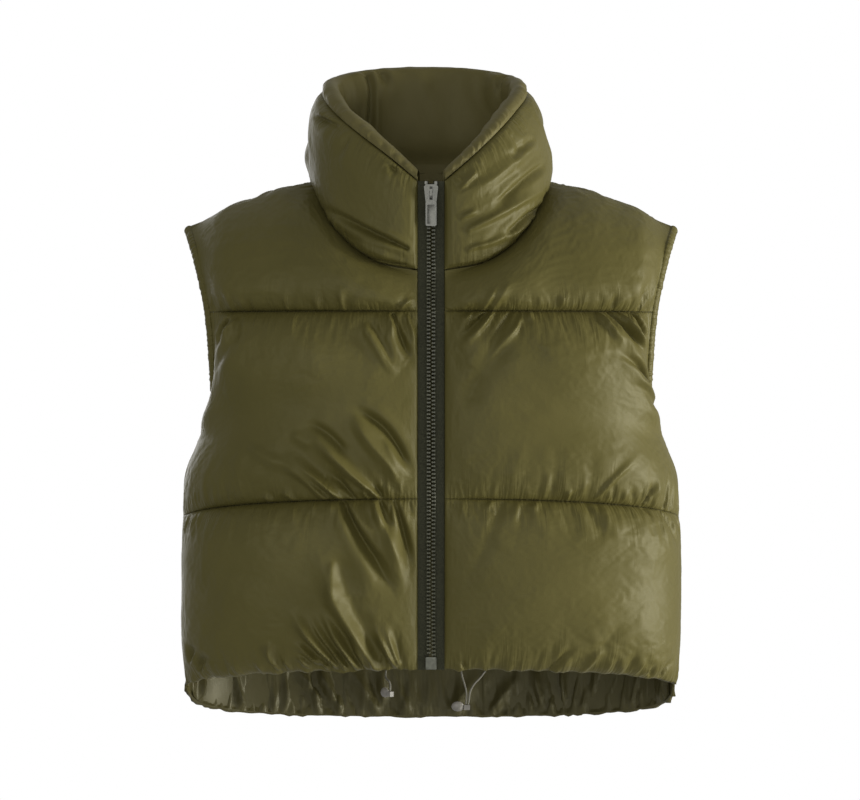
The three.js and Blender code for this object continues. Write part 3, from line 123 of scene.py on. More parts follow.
# Folds in the padding as seen from the front. Each is a line of (x, z) points from its pinched end, how far
# it stands out or, below zero, sinks in, half its width there, and whether its start is held by a seam.
FOLDS = {
    "front_lower_right": [
        ([(-50, -452), (-62, -426), (-83, -388), (-102, -328)], 5.2, 8.8, True),
        ([(-83, -388), (-86, -347)], 2, 5.5, False),
        ([(-84, -447), (-101, -426), (-122, -395)], 6.5, 5.1, True),
        ([(-76, -449), (-92, -424), (-109, -396)], 5.2, 4.2, True),
        ([(-64, -452), (-80, -426), (-97, -393)], 6, 4.8, True),
        ([(-79, -298), (-65, -326), (-47, -355), (-27, -394)], -5.2, 6.6, True),
        ([(-51, -298), (-36, -331), (-20, -378)], 3.8, 7.7, True),
        ([(-46, -298), (-33, -336)], -3.5, 5.5, True),
        ([(-32, -298), (-23, -334), (-17, -381)], -3.5, 5, True),
        ([(-32, -449), (-51, -408)], 5.2, 4.6, True),
        ([(-29, -447), (-42, -406)], 3.8, 3.7, True),
        ([(-135, -451), (-139, -441), (-138, -423)], 4, 3.5, True),
        ([(-100, -446), (-119, -424)], 3.5, 3.7, True),
        ([(-109, -449), (-118, -436)], 2.8, 3.1, True),
        ([(-92, -450), (-103, -436)], 3.2, 3.1, True),
        ([(-125, -452), (-129, -441)], 1.3, 3.5, True),
        ([(-149, -455), (-153, -443)], 1.2, 4, True),
        ([(-172, -457), (-174, -441)], 1.2, 5, True),
        ([(-57, -452), (-71, -421)], 3.8, 4, True),
        ([(-206, -455), (-198, -436)], -2.8, 5.5, True),
        ([(-214, -448), (-208, -430)], -2.8, 4.4, True),
        ([(-91, -296), (-89, -311)], 1.2, 4, True),
        ([(-105, -298), (-104, -312)], 1.0, 4, True),
    ],
    "front_lower_left": [
        ([(108, -453), (116, -439), (125, -425)], -2, 4, True),
        ([(138, -453), (143, -441), (151, -430)], 1.7, 4, True),
        ([(143, -438), (164, -407)], -1, 7.2, False),
        ([(175, -456), (177, -441), (178, -432)], -1.6, 3.6, True),
        ([(169, -455), (164, -437)], 1.2, 3.2, True),
        ([(183, -457), (186, -441)], 1.4, 3.6, True),
        ([(198, -461), (192, -444)], -1.7, 3.6, True),
        ([(191, -459), (198, -441)], 1.2, 3.2, True),
        ([(207, -462), (214, -443)], -1.6, 3.6, True),
        ([(156, -453), (158, -441)], 0.8, 3.2, True),
        ([(63, -300), (38, -360), (19, -385)], -1, 8, True),
        ([(80, -298), (67, -324)], 0.8, 6.4, True),
        ([(96, -297), (88, -309)], 1, 3.6, True),
        ([(54, -297), (50, -307)], 1, 2.8, True),
        ([(138, -299), (150, -337)], -1.1, 5.6, True),
        ([(153, -300), (162, -351)], 0.6, 8, True),
        ([(176, -301), (183, -319)], 1.1, 4, True),
        ([(190, -302), (199, -318)], -2, 3.6, True),
        ([(207, -307), (218, -337), (221, -351)], -1.4, 4, True),
        ([(33, -453), (26, -441)], -1.2, 2.8, True),
        ([(28, -453), (24, -443)], 1.2, 3, True),
    ],
    "front_chest_right": [
        ([(-62, -132), (-57, -138), (-42, -162), (-29, -185)], 3.1, 6.3, False),
        ([(-60, -129), (-51, -141), (-30, -182)], -3.1, 5.2, False),
        ([(-34, -129), (-23, -160), (-12, -179)], -3.4, 4.7, True),
        ([(-37, -129), (-30, -150)], 2.2, 5.2, True),
        ([(-21, -130), (-9, -163)], 2.4, 4.2, True),
        ([(-48, -293), (-63, -279), (-91, -250), (-111, -228)], 4.3, 6.3, True),
        ([(-73, -257), (-87, -240), (-108, -225)], -2.4, 5.2, False),
        ([(-102, -250), (-121, -235)], 1.4, 6, False),
        ([(-81, -296), (-89, -288), (-109, -269), (-129, -250)], 4.1, 5.2, True),
        ([(-95, -296), (-112, -276), (-143, -253)], 3.1, 5.8, True),
        ([(-127, -269), (-159, -246)], 1.3, 7, False),
        ([(-68, -296), (-79, -282), (-95, -266)], -2.9, 4.2, True),
        ([(-18, -278), (-30, -249), (-42, -231), (-70, -211)], -3.1, 5.2, False),
        ([(-26, -291), (-34, -269), (-54, -243), (-72, -217)], 3.1, 7.4, False),
        ([(-18, -278), (-42, -240)], 1.9, 5.2, False),
        ([(-44, -296), (-50, -282)], -2.6, 3.7, True),
        ([(-57, -296), (-62, -285)], 2.2, 3.2, True),
        ([(-183, -133), (-193, -161)], -3.1, 4.2, True),
        ([(-174, -133), (-185, -152)], 1.9, 4.2, True),
        ([(-162, -136), (-193, -183)], -1.4, 7, False),
        ([(-143, -299), (-149, -291)], 2.2, 4.2, True),
        ([(-123, -297), (-131, -287)], 1.9, 4.2, True),
    ],
    "front_chest_left": [
        ([(56, -125), (44, -139), (22, -161)], 2.6, 4, True),
        ([(51, -126), (35, -143), (19, -157)], -2.2, 4.5, True),
        ([(36, -127), (28, -136)], 1.6, 3.5, True),
        ([(73, -124), (49, -161)], -1.5, 4, True),
        ([(84, -123), (76, -138), (58, -160), (40, -191)], 1.4, 4, True),
        ([(72, -144), (44, -184), (26, -221)], -2.0, 12, False),
        ([(89, -123), (86, -136)], 1.6, 3.5, True),
        ([(151, -126), (158, -140), (170, -158)], 2.6, 3.6, True),
        ([(160, -126), (179, -150), (194, -167)], -3.2, 3.4, True),
        ([(170, -126), (188, -156), (197, -170)], 3.0, 3.4, True),
        ([(182, -125), (193, -146), (198, -160)], -3.4, 3.4, True),
        ([(201, -200), (188, -182), (176, -171), (158, -160)], -4.4, 3.4, True),
        ([(200, -208), (184, -190), (166, -180)], 2.2, 4.4, True),
        ([(67, -294), (83, -239)], 0.4, 8, False),
        ([(101, -294), (104, -262)], 0.5, 3.2, True),
        ([(109, -294), (108, -243)], -0.4, 8, False),
        ([(141, -296), (138, -243)], -0.5, 6, True),
        ([(147, -296), (156, -282), (183, -253)], 1.4, 3.2, True),
        ([(133, -296), (134, -277)], 1.0, 2.4, True),
        ([(163, -298), (158, -278)], -1.2, 2.6, True),
        ([(171, -299), (172, -286)], 0.9, 2.4, True),
        ([(181, -301), (176, -284)], -1.1, 2.4, True),
        ([(190, -303), (196, -280)], -2.2, 2.6, True),
        ([(201, -305), (199, -269)], 1.2, 3.4, True),
        ([(212, -309), (211, -266)], -1.6, 2.8, True),
        ([(218, -313), (218, -268)], -1.4, 2.8, True),
        ([(121, -296), (122, -286)], 1.2, 3, True),
    ],
    "front_yoke_right": [
        ([(-101, -127), (-102, -107)], 1.2, 4, True),
        ([(-79, -127), (-80, -101)], 1.5, 4, True),
        ([(-129, -128), (-131, -103)], 1.2, 4, True),
        ([(-162, -129), (-162, -109)], -1.2, 4, True),
        ([(-180, -129), (-179, -105)], 1.4, 4, True),
        ([(-28, -124), (-14, -111)], 1.6, 3, True),
    ],
    "front_yoke_left": [
        ([(45, -126), (62, -98)], 1.8, 4.5, True),
        ([(55, -125), (73, -94)], 1.4, 5, True),
        ([(162, -122), (164, -107)], -1.4, 4, True),
        ([(189, -122), (194, -94)], -2.2, 5, True),
        ([(202, -120), (208, -82)], 1.6, 5, True),
        ([(116, -121), (118, -109)], 1.0, 4, True),
    ],
    "collar": [
        ([(-104, 66), (-96, 74), (-84, 76)], -2.4, 3, False),
        ([(-20, -65), (-52, -48), (-98, -22)], -3.8, 3.6, True),
        ([(-30, -74), (-63, -56)], 1.6, 9, False),
        ([(-22, -80), (-60, -72)], -1.6, 3.4, True),
        ([(-100, 61), (-87, 52), (-72, 40)], -2.4, 4, True),
        ([(-92, 72), (-85, 64)], -2.0, 3.5, True),
        ([(-98, 68), (-79, 48)], 1.6, 5, False),
        ([(-35, 8), (-26, -2)], -1.8, 3.5, True),
        ([(26, -20), (55, 2), (92, 44)], 1.6, 7, False),
        ([(49, -31), (68, -12), (86, 7), (98, 22)], -2.4, 4, False),
        ([(30, -50), (55, -34), (83, -15), (106, 2)], 2.0, 4.4, True),
        ([(55, -59), (74, -40), (99, -21)], -2.0, 3.6, False),
        ([(40, -62), (68, -49), (94, -33)], 1.5, 4, True),
        ([(58, -76), (84, -65), (100, -52)], -1.5, 4, False),
        ([(62, 14), (84, 40)], -1.6, 4, False),
        ([(24, -12), (40, 8)], 1.6, 3, True),
        ([(24, -40), (38, -32)], 1.6, 2.6, True),
        ([(30, -66), (46, -58)], 1.4, 2.6, True),
        ([(19, -2), (28, -9)], 1.2, 3.5, True),
    ],
}

# The same on the hidden back, as seen from the front: similar to the front's, in other places
BACK_FOLDS = {
    "back_lower": [
        ([(-150, -500), (-168, -450), (-196, -400)], 3.2, 7, True),
        ([(-120, -508), (-138, -460), (-150, -430)], 2.4, 6, True),
        ([(-60, -514), (-78, -470)], -2.4, 6, True),
        ([(44, -515), (66, -460), (72, -430)], 3.0, 7, True),
        ([(84, -512), (104, -470)], -2.2, 5, True),
        ([(150, -498), (172, -450)], 2.6, 6, True),
        ([(-96, -330), (-70, -372), (-58, -410)], -3.2, 7, True),
        ([(-70, -330), (-46, -380)], 2.4, 7, True),
        ([(98, -330), (120, -384)], -2.6, 6, True),
        ([(130, -330), (150, -370)], 2.0, 6, True),
        ([(-190, -328), (-180, -372)], -2.2, 6, True),
    ],
    "back_chest": [
        ([(-92, -320), (-118, -280), (-150, -250)], 3.2, 7, True),
        ([(-76, -321), (-96, -285)], -2.4, 5, True),
        ([(60, -322), (88, -276), (120, -246)], 3.0, 7, True),
        ([(86, -321), (112, -286)], -2.4, 5, True),
        ([(-20, -324), (-26, -290)], 1.8, 5, True),
        ([(-150, -130), (-176, -176)], -3.2, 5, True),
        ([(-128, -131), (-150, -170)], 2.2, 5, True),
        ([(144, -130), (172, -178)], -3.0, 5, True),
        ([(30, -136), (52, -186), (60, -220)], 2.2, 7, True),
        ([(-60, -135), (-40, -180)], -2.0, 6, True),
    ],
    "back_yoke": [
        ([(-100, -130), (-108, -96)], 1.8, 5, True),
        ([(-44, -133), (-36, -92)], -1.6, 5, True),
        ([(60, -132), (52, -96)], 1.8, 5, True),
        ([(120, -130), (128, -92)], 1.5, 5, True),
        ([(170, -128), (176, -90)], -2.0, 5, True),
        ([(-160, -128), (-168, -94)], 1.8, 5, True),
    ],
}


# Curves and surfaces, as in the CAD

def smoothstep(value):
    value = np.clip(value, 0, 1)
    return value ** 2 * (3 - 2 * value)


def rise(distance, reach):
    return np.sqrt(np.maximum(1 - (1 - np.clip(distance / reach, 0, 1)) ** 2, 0))


def catmull_rom(points, steps=48):
    """A dense line along a centripetal Catmull-Rom curve, evenly spaced in the curve's own parameter."""
    points = np.asarray(points, float)
    ends = np.vstack([2 * points[0] - points[1], points, 2 * points[-1] - points[-2]])
    shares = np.linspace(0, 1, steps, endpoint=False)[:, None]
    pieces = []
    for before, start, end, after in zip(ends[:-3], ends[1:-2], ends[2:-1], ends[3:]):
        first, middle, last = (np.sqrt(np.linalg.norm(b - a)) for a, b in
                               ((before, start), (start, end), (end, after)))
        if middle < 1e-4:
            middle = 1.0
        first = first if first >= 1e-4 else middle
        last = last if last >= 1e-4 else middle
        leave = ((start - before) / first - (end - before) / (first + middle)
                 + (end - start) / middle) * middle
        arrive = ((end - start) / middle - (after - start) / (middle + last)
                  + (after - end) / last) * middle
        pieces.append(start + leave * shares + (-3 * start + 3 * end - 2 * leave - arrive) * shares ** 2
                      + (2 * start - 2 * end + leave + arrive) * shares ** 3)
    return np.vstack([*pieces, points[-1:]])


def interpolated(line, shares, values):
    return np.stack([np.interp(values, shares, line[:, i]) for i in range(line.shape[1])], axis=-1)


def curve(points):
    """A curve as a function of its own parameter from 0 to 1."""
    line = catmull_rom(points)
    shares = np.linspace(0, 1, len(line))
    return lambda values: interpolated(line, shares, np.clip(values, 0, 1))


def by_length(line):
    """A dense line as a function of the share of its length."""
    lengths = np.concatenate([[0], np.cumsum(np.linalg.norm(np.diff(line, axis=0), axis=1))])
    return lambda values: interpolated(line, lengths / lengths[-1], np.clip(values, 0, 1))


def stretch(source, start=0.0, end=1.0):
    return by_length(source(np.linspace(start, end, 400)))


def chained(*pieces):
    def at(values):
        values = np.asarray(values, float)
        result = np.zeros((*values.shape, 3))
        start = 0.0
        for piece, length in pieces:
            inside = (values >= start - 1e-9) if start else np.ones(values.shape, bool)
            result[inside] = piece((values[inside] - start) / length)
            start += length
        return result
    return at


def backwards(piece):
    return lambda values: piece(1 - np.asarray(values))


def mirrored(points, side=-1):
    return points * np.array((side, 1, 1), float)


def across(half):
    """A full-width back edge from one that runs from the wearer's left side to the middle."""
    def at(values):
        values = np.asarray(values, float)
        left = half(np.clip(2 * values, 0, 1))
        right = mirrored(half(np.clip(2 - 2 * values, 0, 1)))
        return np.where((values < 0.5)[..., None], left, right)
    return at


def ring_point(ring, angle):
    angle = np.asarray(angle, float)
    sine, cosine = np.abs(np.sin(angle)), np.cos(angle)
    ahead = cosine > 0
    depth = np.where(ahead, ring["front"], ring["back"])
    middle = np.where(ahead, ring["z_front"], ring["z_back"])
    level = np.where(ahead, np.abs(cosine), np.sqrt(np.abs(cosine)))
    return np.stack([ring["half_width"] * sine ** (2 / SQUARENESS),
                     -np.sign(cosine) * depth * np.abs(cosine) ** (2 / SQUARENESS),
                     ring["z_side"] + (middle - ring["z_side"]) * level], axis=-1)


def angle_at_width(ring, width):
    return math.asin((width / ring["half_width"]) ** (SQUARENESS / 2))


ARMHOLE_CUT = math.acos(ARMHOLE_SHARE ** (SQUARENESS / 2))


def ring_stretch(ring, start, end):
    return by_length(ring_point(ring, np.linspace(start, end, 400)))


def outward(points):
    """Which way is out of the garment: level round the body, turning up at the shoulders."""
    z = points[..., 2]
    core = z - CORE_BLEND * np.log1p(np.exp((z - CORE_TOP) / CORE_BLEND))
    way = np.stack([(1 - CORE_SHARE) * points[..., 0], points[..., 1], z - core], axis=-1)
    return way / np.linalg.norm(way, axis=-1, keepdims=True)


def patch(bottom, top, inner, outer):
    """A smooth surface between four edges that meet at their ends."""
    def at(s, t):
        corner = [edge(np.array([end]))[0] for edge in (bottom, top) for end in (0.0, 1.0)]
        s_column, t_column = s[None, :, None], t[:, None, None]
        return (bottom(s)[None] * (1 - t_column) + top(s)[None] * t_column
                + inner(t)[:, None] * (1 - s_column) + outer(t)[:, None] * s_column
                - corner[0] * (1 - s_column) * (1 - t_column) - corner[1] * s_column * (1 - t_column)
                - corner[2] * (1 - s_column) * t_column - corner[3] * s_column * t_column)
    return at


def spacing(count, crowding=0.7):
    even = np.linspace(0, 1, count + 1)
    return even * (1 - crowding) + (0.5 - 0.5 * np.cos(np.pi * even)) * crowding


def seams():
    hem, low, high = RINGS["hem"], RINGS["low"], RINGS["high"]
    side = {name: ring_point(ring, math.pi / 2) for name, ring in RINGS.items()}
    front_cut = ring_point(high, ARMHOLE_CUT)
    back_cut = ring_point(high, math.pi - ARMHOLE_CUT)
    front_edge = curve([UNDERARM, ARMHOLE_FRONT[0], front_cut, ARMHOLE_FRONT[1], SHOULDER_TIP])
    back_edge = curve([UNDERARM, ARMHOLE_BACK[0], back_cut, ARMHOLE_BACK[1], SHOULDER_TIP])
    neck = curve([row[0] for row in COLLAR])
    shoulder_share = SHOULDER_ROW / (len(COLLAR) - 1)
    zip_points = [*(ring_point(ring, angle_at_width(ring, ZIP_EDGE)) for ring in (hem, low, high)),
                  COLLAR[0][0], COLLAR[0][1]]
    zip_curve = curve(zip_points)
    return {
        "hem_front": ring_stretch(hem, angle_at_width(hem, ZIP_EDGE), math.pi / 2),
        "low_front": ring_stretch(low, angle_at_width(low, ZIP_EDGE), math.pi / 2),
        "high_front": ring_stretch(high, angle_at_width(high, ZIP_EDGE), ARMHOLE_CUT),
        "hem_back": ring_stretch(hem, math.pi / 2, math.pi),
        "low_back": ring_stretch(low, math.pi / 2, math.pi),
        "high_back": ring_stretch(high, math.pi - ARMHOLE_CUT, math.pi),
        "side_low": stretch(curve([side["hem"], side["low"]])),
        "side_high": stretch(curve([side["low"], *SIDE_WAIST, UNDERARM])),
        "arm_front_low": stretch(front_edge, 0, 0.5),
        "arm_front_high": stretch(front_edge, 0.5, 1),
        "arm_back_low": stretch(back_edge, 0, 0.5),
        "arm_back_high": stretch(back_edge, 0.5, 1),
        "neck_front": stretch(neck, 0, shoulder_share),
        "neck_back": stretch(neck, shoulder_share, 1),
        "shoulder": stretch(curve([COLLAR[SHOULDER_ROW][0], SHOULDER_MIDDLE, SHOULDER_TIP])),
        "zip": stretch(zip_curve),
        "zip_low": stretch(zip_curve, 0, 0.25),
        "zip_chest": stretch(zip_curve, 0.25, 0.5),
        "zip_yoke": stretch(zip_curve, 0.5, 0.75),
    }


SEAMS = seams()

SURFACES = {
    "front_lower": patch(SEAMS["hem_front"], SEAMS["low_front"], SEAMS["zip_low"], SEAMS["side_low"]),
    "front_chest": patch(SEAMS["low_front"], SEAMS["high_front"], SEAMS["zip_chest"],
                         chained((SEAMS["side_high"], 0.5), (SEAMS["arm_front_low"], 0.5))),
    "front_yoke": patch(SEAMS["high_front"],
                        chained((SEAMS["neck_front"], NECK_END), (SEAMS["shoulder"], 1 - NECK_END)),
                        SEAMS["zip_yoke"], SEAMS["arm_front_high"]),
}
back_side = chained((SEAMS["side_high"], 0.5), (SEAMS["arm_back_low"], 0.5))
back_top = across(chained((backwards(SEAMS["shoulder"]), 2 * BACK_NECK),
                          (SEAMS["neck_back"], 1 - 2 * BACK_NECK)))


def to_right(edge):
    return lambda values: mirrored(edge(values))


SURFACES["back_lower"] = patch(across(SEAMS["hem_back"]), across(SEAMS["low_back"]), SEAMS["side_low"],
                               to_right(SEAMS["side_low"]))
SURFACES["back_chest"] = patch(across(SEAMS["low_back"]), across(SEAMS["high_back"]), back_side,
                               to_right(back_side))
SURFACES["back_yoke"] = patch(across(SEAMS["high_back"]), back_top, SEAMS["arm_back_high"],
                              to_right(SEAMS["arm_back_high"]))


# Folds and puckers

def fold_field(x, z, fold, sharp=False):
    """How far one fold lifts each point, with a rounded or a sharp crest."""
    points, depth, width, held = fold
    line = catmull_rom(points, 8) if len(points) > 2 else np.linspace(points[0], points[1], 9)
    starts, ends = line[:-1], line[1:]
    along = ends - starts
    lengths = np.linalg.norm(along, axis=1)
    before = np.concatenate([[0], np.cumsum(lengths)])
    best = np.full(x.shape, 1e9)
    share = np.zeros(x.shape)
    for start, way, length, passed in zip(starts, along, lengths, before):
        part = np.clip(((x - start[0]) * way[0] + (z - start[1]) * way[1]) / length ** 2, 0, 1)
        distance = np.hypot(x - start[0] - part * way[0], z - start[1] - part * way[1])
        closer = distance < best
        best = np.where(closer, distance, best)
        share = np.where(closer, (passed + part * length) / before[-1], share)
    if held:
        strength = (0.6 + 0.4 * smoothstep(share / 0.15)) * (1 - smoothstep((share - 0.4) / 0.6))
        spread = width * (0.55 + 0.95 * share)
    else:
        strength = smoothstep(share / 0.3) * smoothstep((1 - share) / 0.3)
        spread = np.full(x.shape, float(width))
    ratio = best / spread
    crest = np.exp(-1.2 * ratio ** 1.25) if sharp else np.exp(-ratio ** 2)
    return depth * strength * (crest - 0.35 * np.exp(-((ratio - 1.9) / 0.9) ** 2))


def puckers(position, distance, length, seed, pitch=9.0, depth=1.1, reach=26.0, widths=(1.6, 3.2)):
    """Small creases that run away from a seam, at uneven places along it."""
    random = np.random.default_rng(seed)
    field = np.zeros(distance.shape)
    place = 0.0
    while place < length:
        place += pitch * random.uniform(0.45, 1.6)
        size = random.uniform(0.35, 1.0) ** 1.5
        sign = 1 if random.random() < 0.5 else -1
        lean = random.uniform(-0.35, 0.35)
        tall = reach * (0.35 + 0.9 * size)
        wide = random.uniform(*widths) * (0.8 + 0.5 * size)
        offset = position - place - lean * distance
        near = np.abs(offset) < 4 * (wide + 0.1 * tall)
        width = wide * (0.7 + distance / tall)
        away = distance / (0.22 * tall)
        shape = np.exp(-(offset / width) ** 2) * away * np.exp(1 - away)
        field += np.where(near, sign * depth * size * shape, 0)
    return field


def lumps(x, z, seed, size, octaves=2):
    """Smooth uneven noise between about -1 and 1, from waves in many directions."""
    random = np.random.default_rng(seed)
    field = np.zeros(x.shape)
    for octave in range(octaves):
        for _ in range(7):
            angle = random.uniform(0, 2 * math.pi)
            wave = 2 * math.pi / (size * random.uniform(0.7, 1.5) / 2 ** octave)
            phase = random.uniform(0, 2 * math.pi)
            field += 0.5 ** octave * np.sin(wave * (x * math.cos(angle) + z * math.sin(angle)) + phase)
    return field / 3.5


def arc_lengths(grid, axis):
    steps = np.linalg.norm(np.diff(grid, axis=axis), axis=-1)
    zero = np.zeros_like(np.take(steps, [0], axis=axis))
    return np.concatenate([zero, np.cumsum(steps, axis=axis)], axis=axis)


def eased(grid, times):
    """Smooths a grid inside its border, which stays, so that no corner of an edge runs on across it."""
    grid = grid.copy()
    for _ in range(times):
        across_mean = (grid[1:-1, :-2] + grid[1:-1, 2:]) / 2
        up_mean = (grid[:-2, 1:-1] + grid[2:, 1:-1]) / 2
        grid[1:-1, 1:-1] = 0.5 * grid[1:-1, 1:-1] + 0.25 * (across_mean + up_mean)
    return grid


def panel_grid(name, side, columns, rows, folds, seed):
    """The face of one padded panel as a grid of points, with its base, its way out and how high it stands."""
    surface = SURFACES[name]
    place, kind = name.split("_")
    height, reach, crown = PUFFS[kind]
    ends = [surface(np.array([a]), np.array([b]))[0, 0] for a, b in
            ((0, 0.5), (0.5, 0.5), (1, 0.5), (0.5, 0), (0.5, 1))]
    width = np.linalg.norm(ends[0] - ends[1]) + np.linalg.norm(ends[1] - ends[2])
    tall = np.linalg.norm(ends[3] - ends[4]) + 2 * crown
    inset_s, inset_t = SEAM_GAP / 2 / width, SEAM_GAP / 2 / tall
    s = inset_s + spacing(columns, 0.45) * (1 - 2 * inset_s)
    t = inset_t + spacing(rows, 0.6) * (1 - 2 * inset_t)
    base = surface(s, t)
    s_grid, t_grid = np.meshgrid(s, t)
    base = base + outward(base) * (crown * 6.75 * t_grid * (1 - t_grid) ** 2
                                   * np.sqrt(np.sin(np.pi * s_grid)))[..., None]
    base = eased(base, BASE_EASING)
    out = outward(base)

    if kind != "yoke":
        neck = np.zeros(s.shape)
    elif place == "front":
        blend = NECK_BLEND["front"]
        neck = 1 - smoothstep((s - NECK_END + blend) / (2 * blend))
    else:
        blend = NECK_BLEND["back"]
        neck = (smoothstep((s - BACK_NECK + blend) / (2 * blend))
                * (1 - smoothstep((s - 1 + BACK_NECK + blend) / (2 * blend))))
    down, up = t_grid * tall, (1 - t_grid) * tall
    top_fade = neck * smoothstep(up / NECK_RISE) + (1 - neck) * rise(up, reach)

    def side_fade(distance):
        soft_side = smoothstep(distance / SIDE_RISE) ** SOFT_POWER
        armhole = smoothstep(distance / ARMHOLE_RISE) ** SOFT_POWER
        if kind == "lower":
            return soft_side
        if kind == "yoke":
            return armhole
        turn = smoothstep((t_grid - ARMHOLE_BLEND[0]) / ARMHOLE_BLEND[1])
        return soft_side * (1 - turn) + armhole * turn

    inner = rise(s_grid * width, reach) if place == "front" else side_fade(s_grid * width)
    outer = side_fade((1 - s_grid) * width)
    puff = height * rise(down, reach) * top_fade * inner * outer
    if place == "front":
        puff = puff * (1 - ZIP_SLOPE * (1 - smoothstep(s_grid * width / ZIP_SLOPE_WIDTH)))
    body = smoothstep(puff / (0.5 * height))

    points = mirrored(base, side)
    x, z = points[..., 0], points[..., 2]
    lift = puff * (1 + 0.07 * lumps(x, z, seed, 110))
    for fold in folds:
        lift = lift + FOLD_SHARE * fold_field(x, z, fold) * smoothstep(puff / (0.2 * height))
    along = arc_lengths(base, 1)
    crimps = puckers(along, down, width, seed + 1) + puckers(along, up, width, seed + 2) * (1 - neck)
    if place == "front":
        crimps += SIDE_PUCKERS * puckers(arc_lengths(base, 0), s_grid * width, tall, seed + 3, 15, 0.9, 20)
    lift = lift + crimps * smoothstep(puff / (0.12 * height))
    lift = lift + LUMP_HEIGHT * lumps(x, z, seed + 4, 34) * body
    smooth = mirrored(base + out * (WALL / 2 + puff)[..., None], side)
    face = mirrored(base + out * (WALL / 2 + np.maximum(lift, 0))[..., None], side)
    return {"face": face, "smooth": smooth, "base": points, "out": mirrored(out, side), "puff": puff,
            "along": along, "down": down + 0 * along, "up": up + 0 * along, "neck": neck + 0 * along}


def upsampled(grid):
    """The same grid with a point between each two, on a smooth curve through them."""
    for axis in (0, 1):
        lines = np.moveaxis(grid, axis, 0)
        padded = np.concatenate([[2 * lines[0] - lines[1]], lines, [2 * lines[-1] - lines[-2]]])
        middles = (9 * (padded[1:-2] + padded[2:-1]) - padded[:-3] - padded[3:]) / 16
        dense = np.empty((2 * len(lines) - 1, *lines.shape[1:]))
        dense[::2] = lines
        dense[1::2] = middles
        grid = np.moveaxis(dense, 0, axis)
    return grid


def finer(field):
    """The same for a grid of single values."""
    return upsampled(field[..., None])[..., 0]


# Meshes

def new_object(name, data):
    obj = bpy.data.objects.new(name, data)
    bpy.context.scene.collection.objects.link(obj)
    return obj


def mesh_object(name, points, faces, material, slots=None):
    mesh = bpy.data.meshes.new(name)
    mesh.from_pydata((np.asarray(points).reshape(-1, 3) * MM).tolist(), [], faces)
    for item in material if isinstance(material, (list, tuple)) else [material]:
        mesh.materials.append(item)
    if slots is not None:
        mesh.polygons.foreach_set("material_index", slots)
    mesh.polygons.foreach_set("use_smooth", [True] * len(mesh.polygons))
    mesh.update()
    return new_object(name, mesh)


def grid_faces(rows, columns, start=0, flip=False, closed=False):
    """Four-cornered faces between a grid's points, which can close on itself both ways."""
    index = start + np.arange(rows * columns).reshape(rows, columns)
    if closed:
        index = np.pad(index, ((0, 1), (0, 1)), mode="wrap")
    corners = [index[:-1, :-1], index[:-1, 1:], index[1:, 1:], index[1:, :-1]]
    if flip:
        corners.reverse()
    return np.stack([corner.ravel() for corner in corners], axis=1).tolist()


def border(rows, columns, start=0):
    """The numbers of the points round the edge of a grid, in order."""
    index = start + np.arange(rows * columns).reshape(rows, columns)
    return np.concatenate([index[0, :-1], index[:-1, -1], index[-1, :0:-1], index[:0:-1, 0]])


def wall_object(name, face, inside, materials, flip):
    """A closed wall between a fine face and an inside grid with half as many rows and columns."""
    rows, columns = face.shape[:2]
    start = rows * columns
    inner_rows, inner_columns = inside.shape[:2]
    faces = grid_faces(rows, columns, 0, flip)
    faces_inside = grid_faces(inner_rows, inner_columns, start, not flip)
    fine = border(rows, columns)
    coarse = border(inner_rows, inner_columns, start)
    count = len(coarse)
    rim = []
    for i in range(count):
        first, middle, last = fine[2 * i], fine[2 * i + 1], fine[(2 * i + 2) % len(fine)]
        here, there = coarse[i], coarse[(i + 1) % count]
        for triangle in ((middle, first, here), (last, middle, there), (middle, here, there)):
            rim.append([int(v) for v in (triangle[::-1] if flip else triangle)])
    points = np.concatenate([face.reshape(-1, 3), inside.reshape(-1, 3)])
    slots = [0] * len(faces) + [1] * len(faces_inside) + [0] * len(rim)
    return mesh_object(name, points, faces + faces_inside + rim, materials, slots)


def turned_out(obj):
    """Turns every face of a closed mesh outwards."""
    work = bmesh.new()
    work.from_mesh(obj.data)
    bmesh.ops.recalc_face_normals(work, faces=work.faces)
    work.to_mesh(obj.data)
    work.free()
    return obj


# Materials

# Drag lines run at this angle, drawn out to this share of their length, with this scale and height
DRAG_ANGLE = 0.9
DRAG_STRETCH = 0.09
DRAG_SCALE = 75
DRAG_HEIGHT = 0.0011
DRAG_STRENGTH = 0.22
PLEAT_SCALE = 430
PLEAT_HEIGHT = 0.0020
THREAD_PITCH = 0.0006
TAPE_PITCH = 0.0009


def new_material(name):
    material = bpy.data.materials.new(name)
    material.use_nodes = True
    nodes = material.node_tree.nodes
    shader = next(node for node in nodes if node.type == "BSDF_PRINCIPLED")
    return material, nodes, material.node_tree.links, shader


def noise(nodes, links, coords, scale, detail=3.0, roughness=0.5, distortion=0.0, stretch_by=None):
    node = nodes.new("ShaderNodeTexNoise")
    node.inputs["Scale"].default_value = scale
    node.inputs["Detail"].default_value = detail
    node.inputs["Roughness"].default_value = roughness
    node.inputs["Distortion"].default_value = distortion
    if stretch_by is None:
        links.new(coords, node.inputs["Vector"])
    else:
        mapping = nodes.new("ShaderNodeMapping")
        mapping.inputs["Scale"].default_value = stretch_by
        links.new(coords, mapping.inputs["Vector"])
        links.new(mapping.outputs["Vector"], node.inputs["Vector"])
    return node.outputs["Fac"]


def ramp(nodes, links, value, stops):
    node = nodes.new("ShaderNodeValToRGB")
    elements = node.color_ramp.elements
    elements[0].position, elements[0].color = stops[0][0], (*stops[0][1], 1)
    elements[1].position, elements[1].color = stops[-1][0], (*stops[-1][1], 1)
    for place, colour in stops[1:-1]:
        elements.new(place).color = (*colour, 1)
    links.new(value, node.inputs["Fac"])
    return node.outputs["Color"]


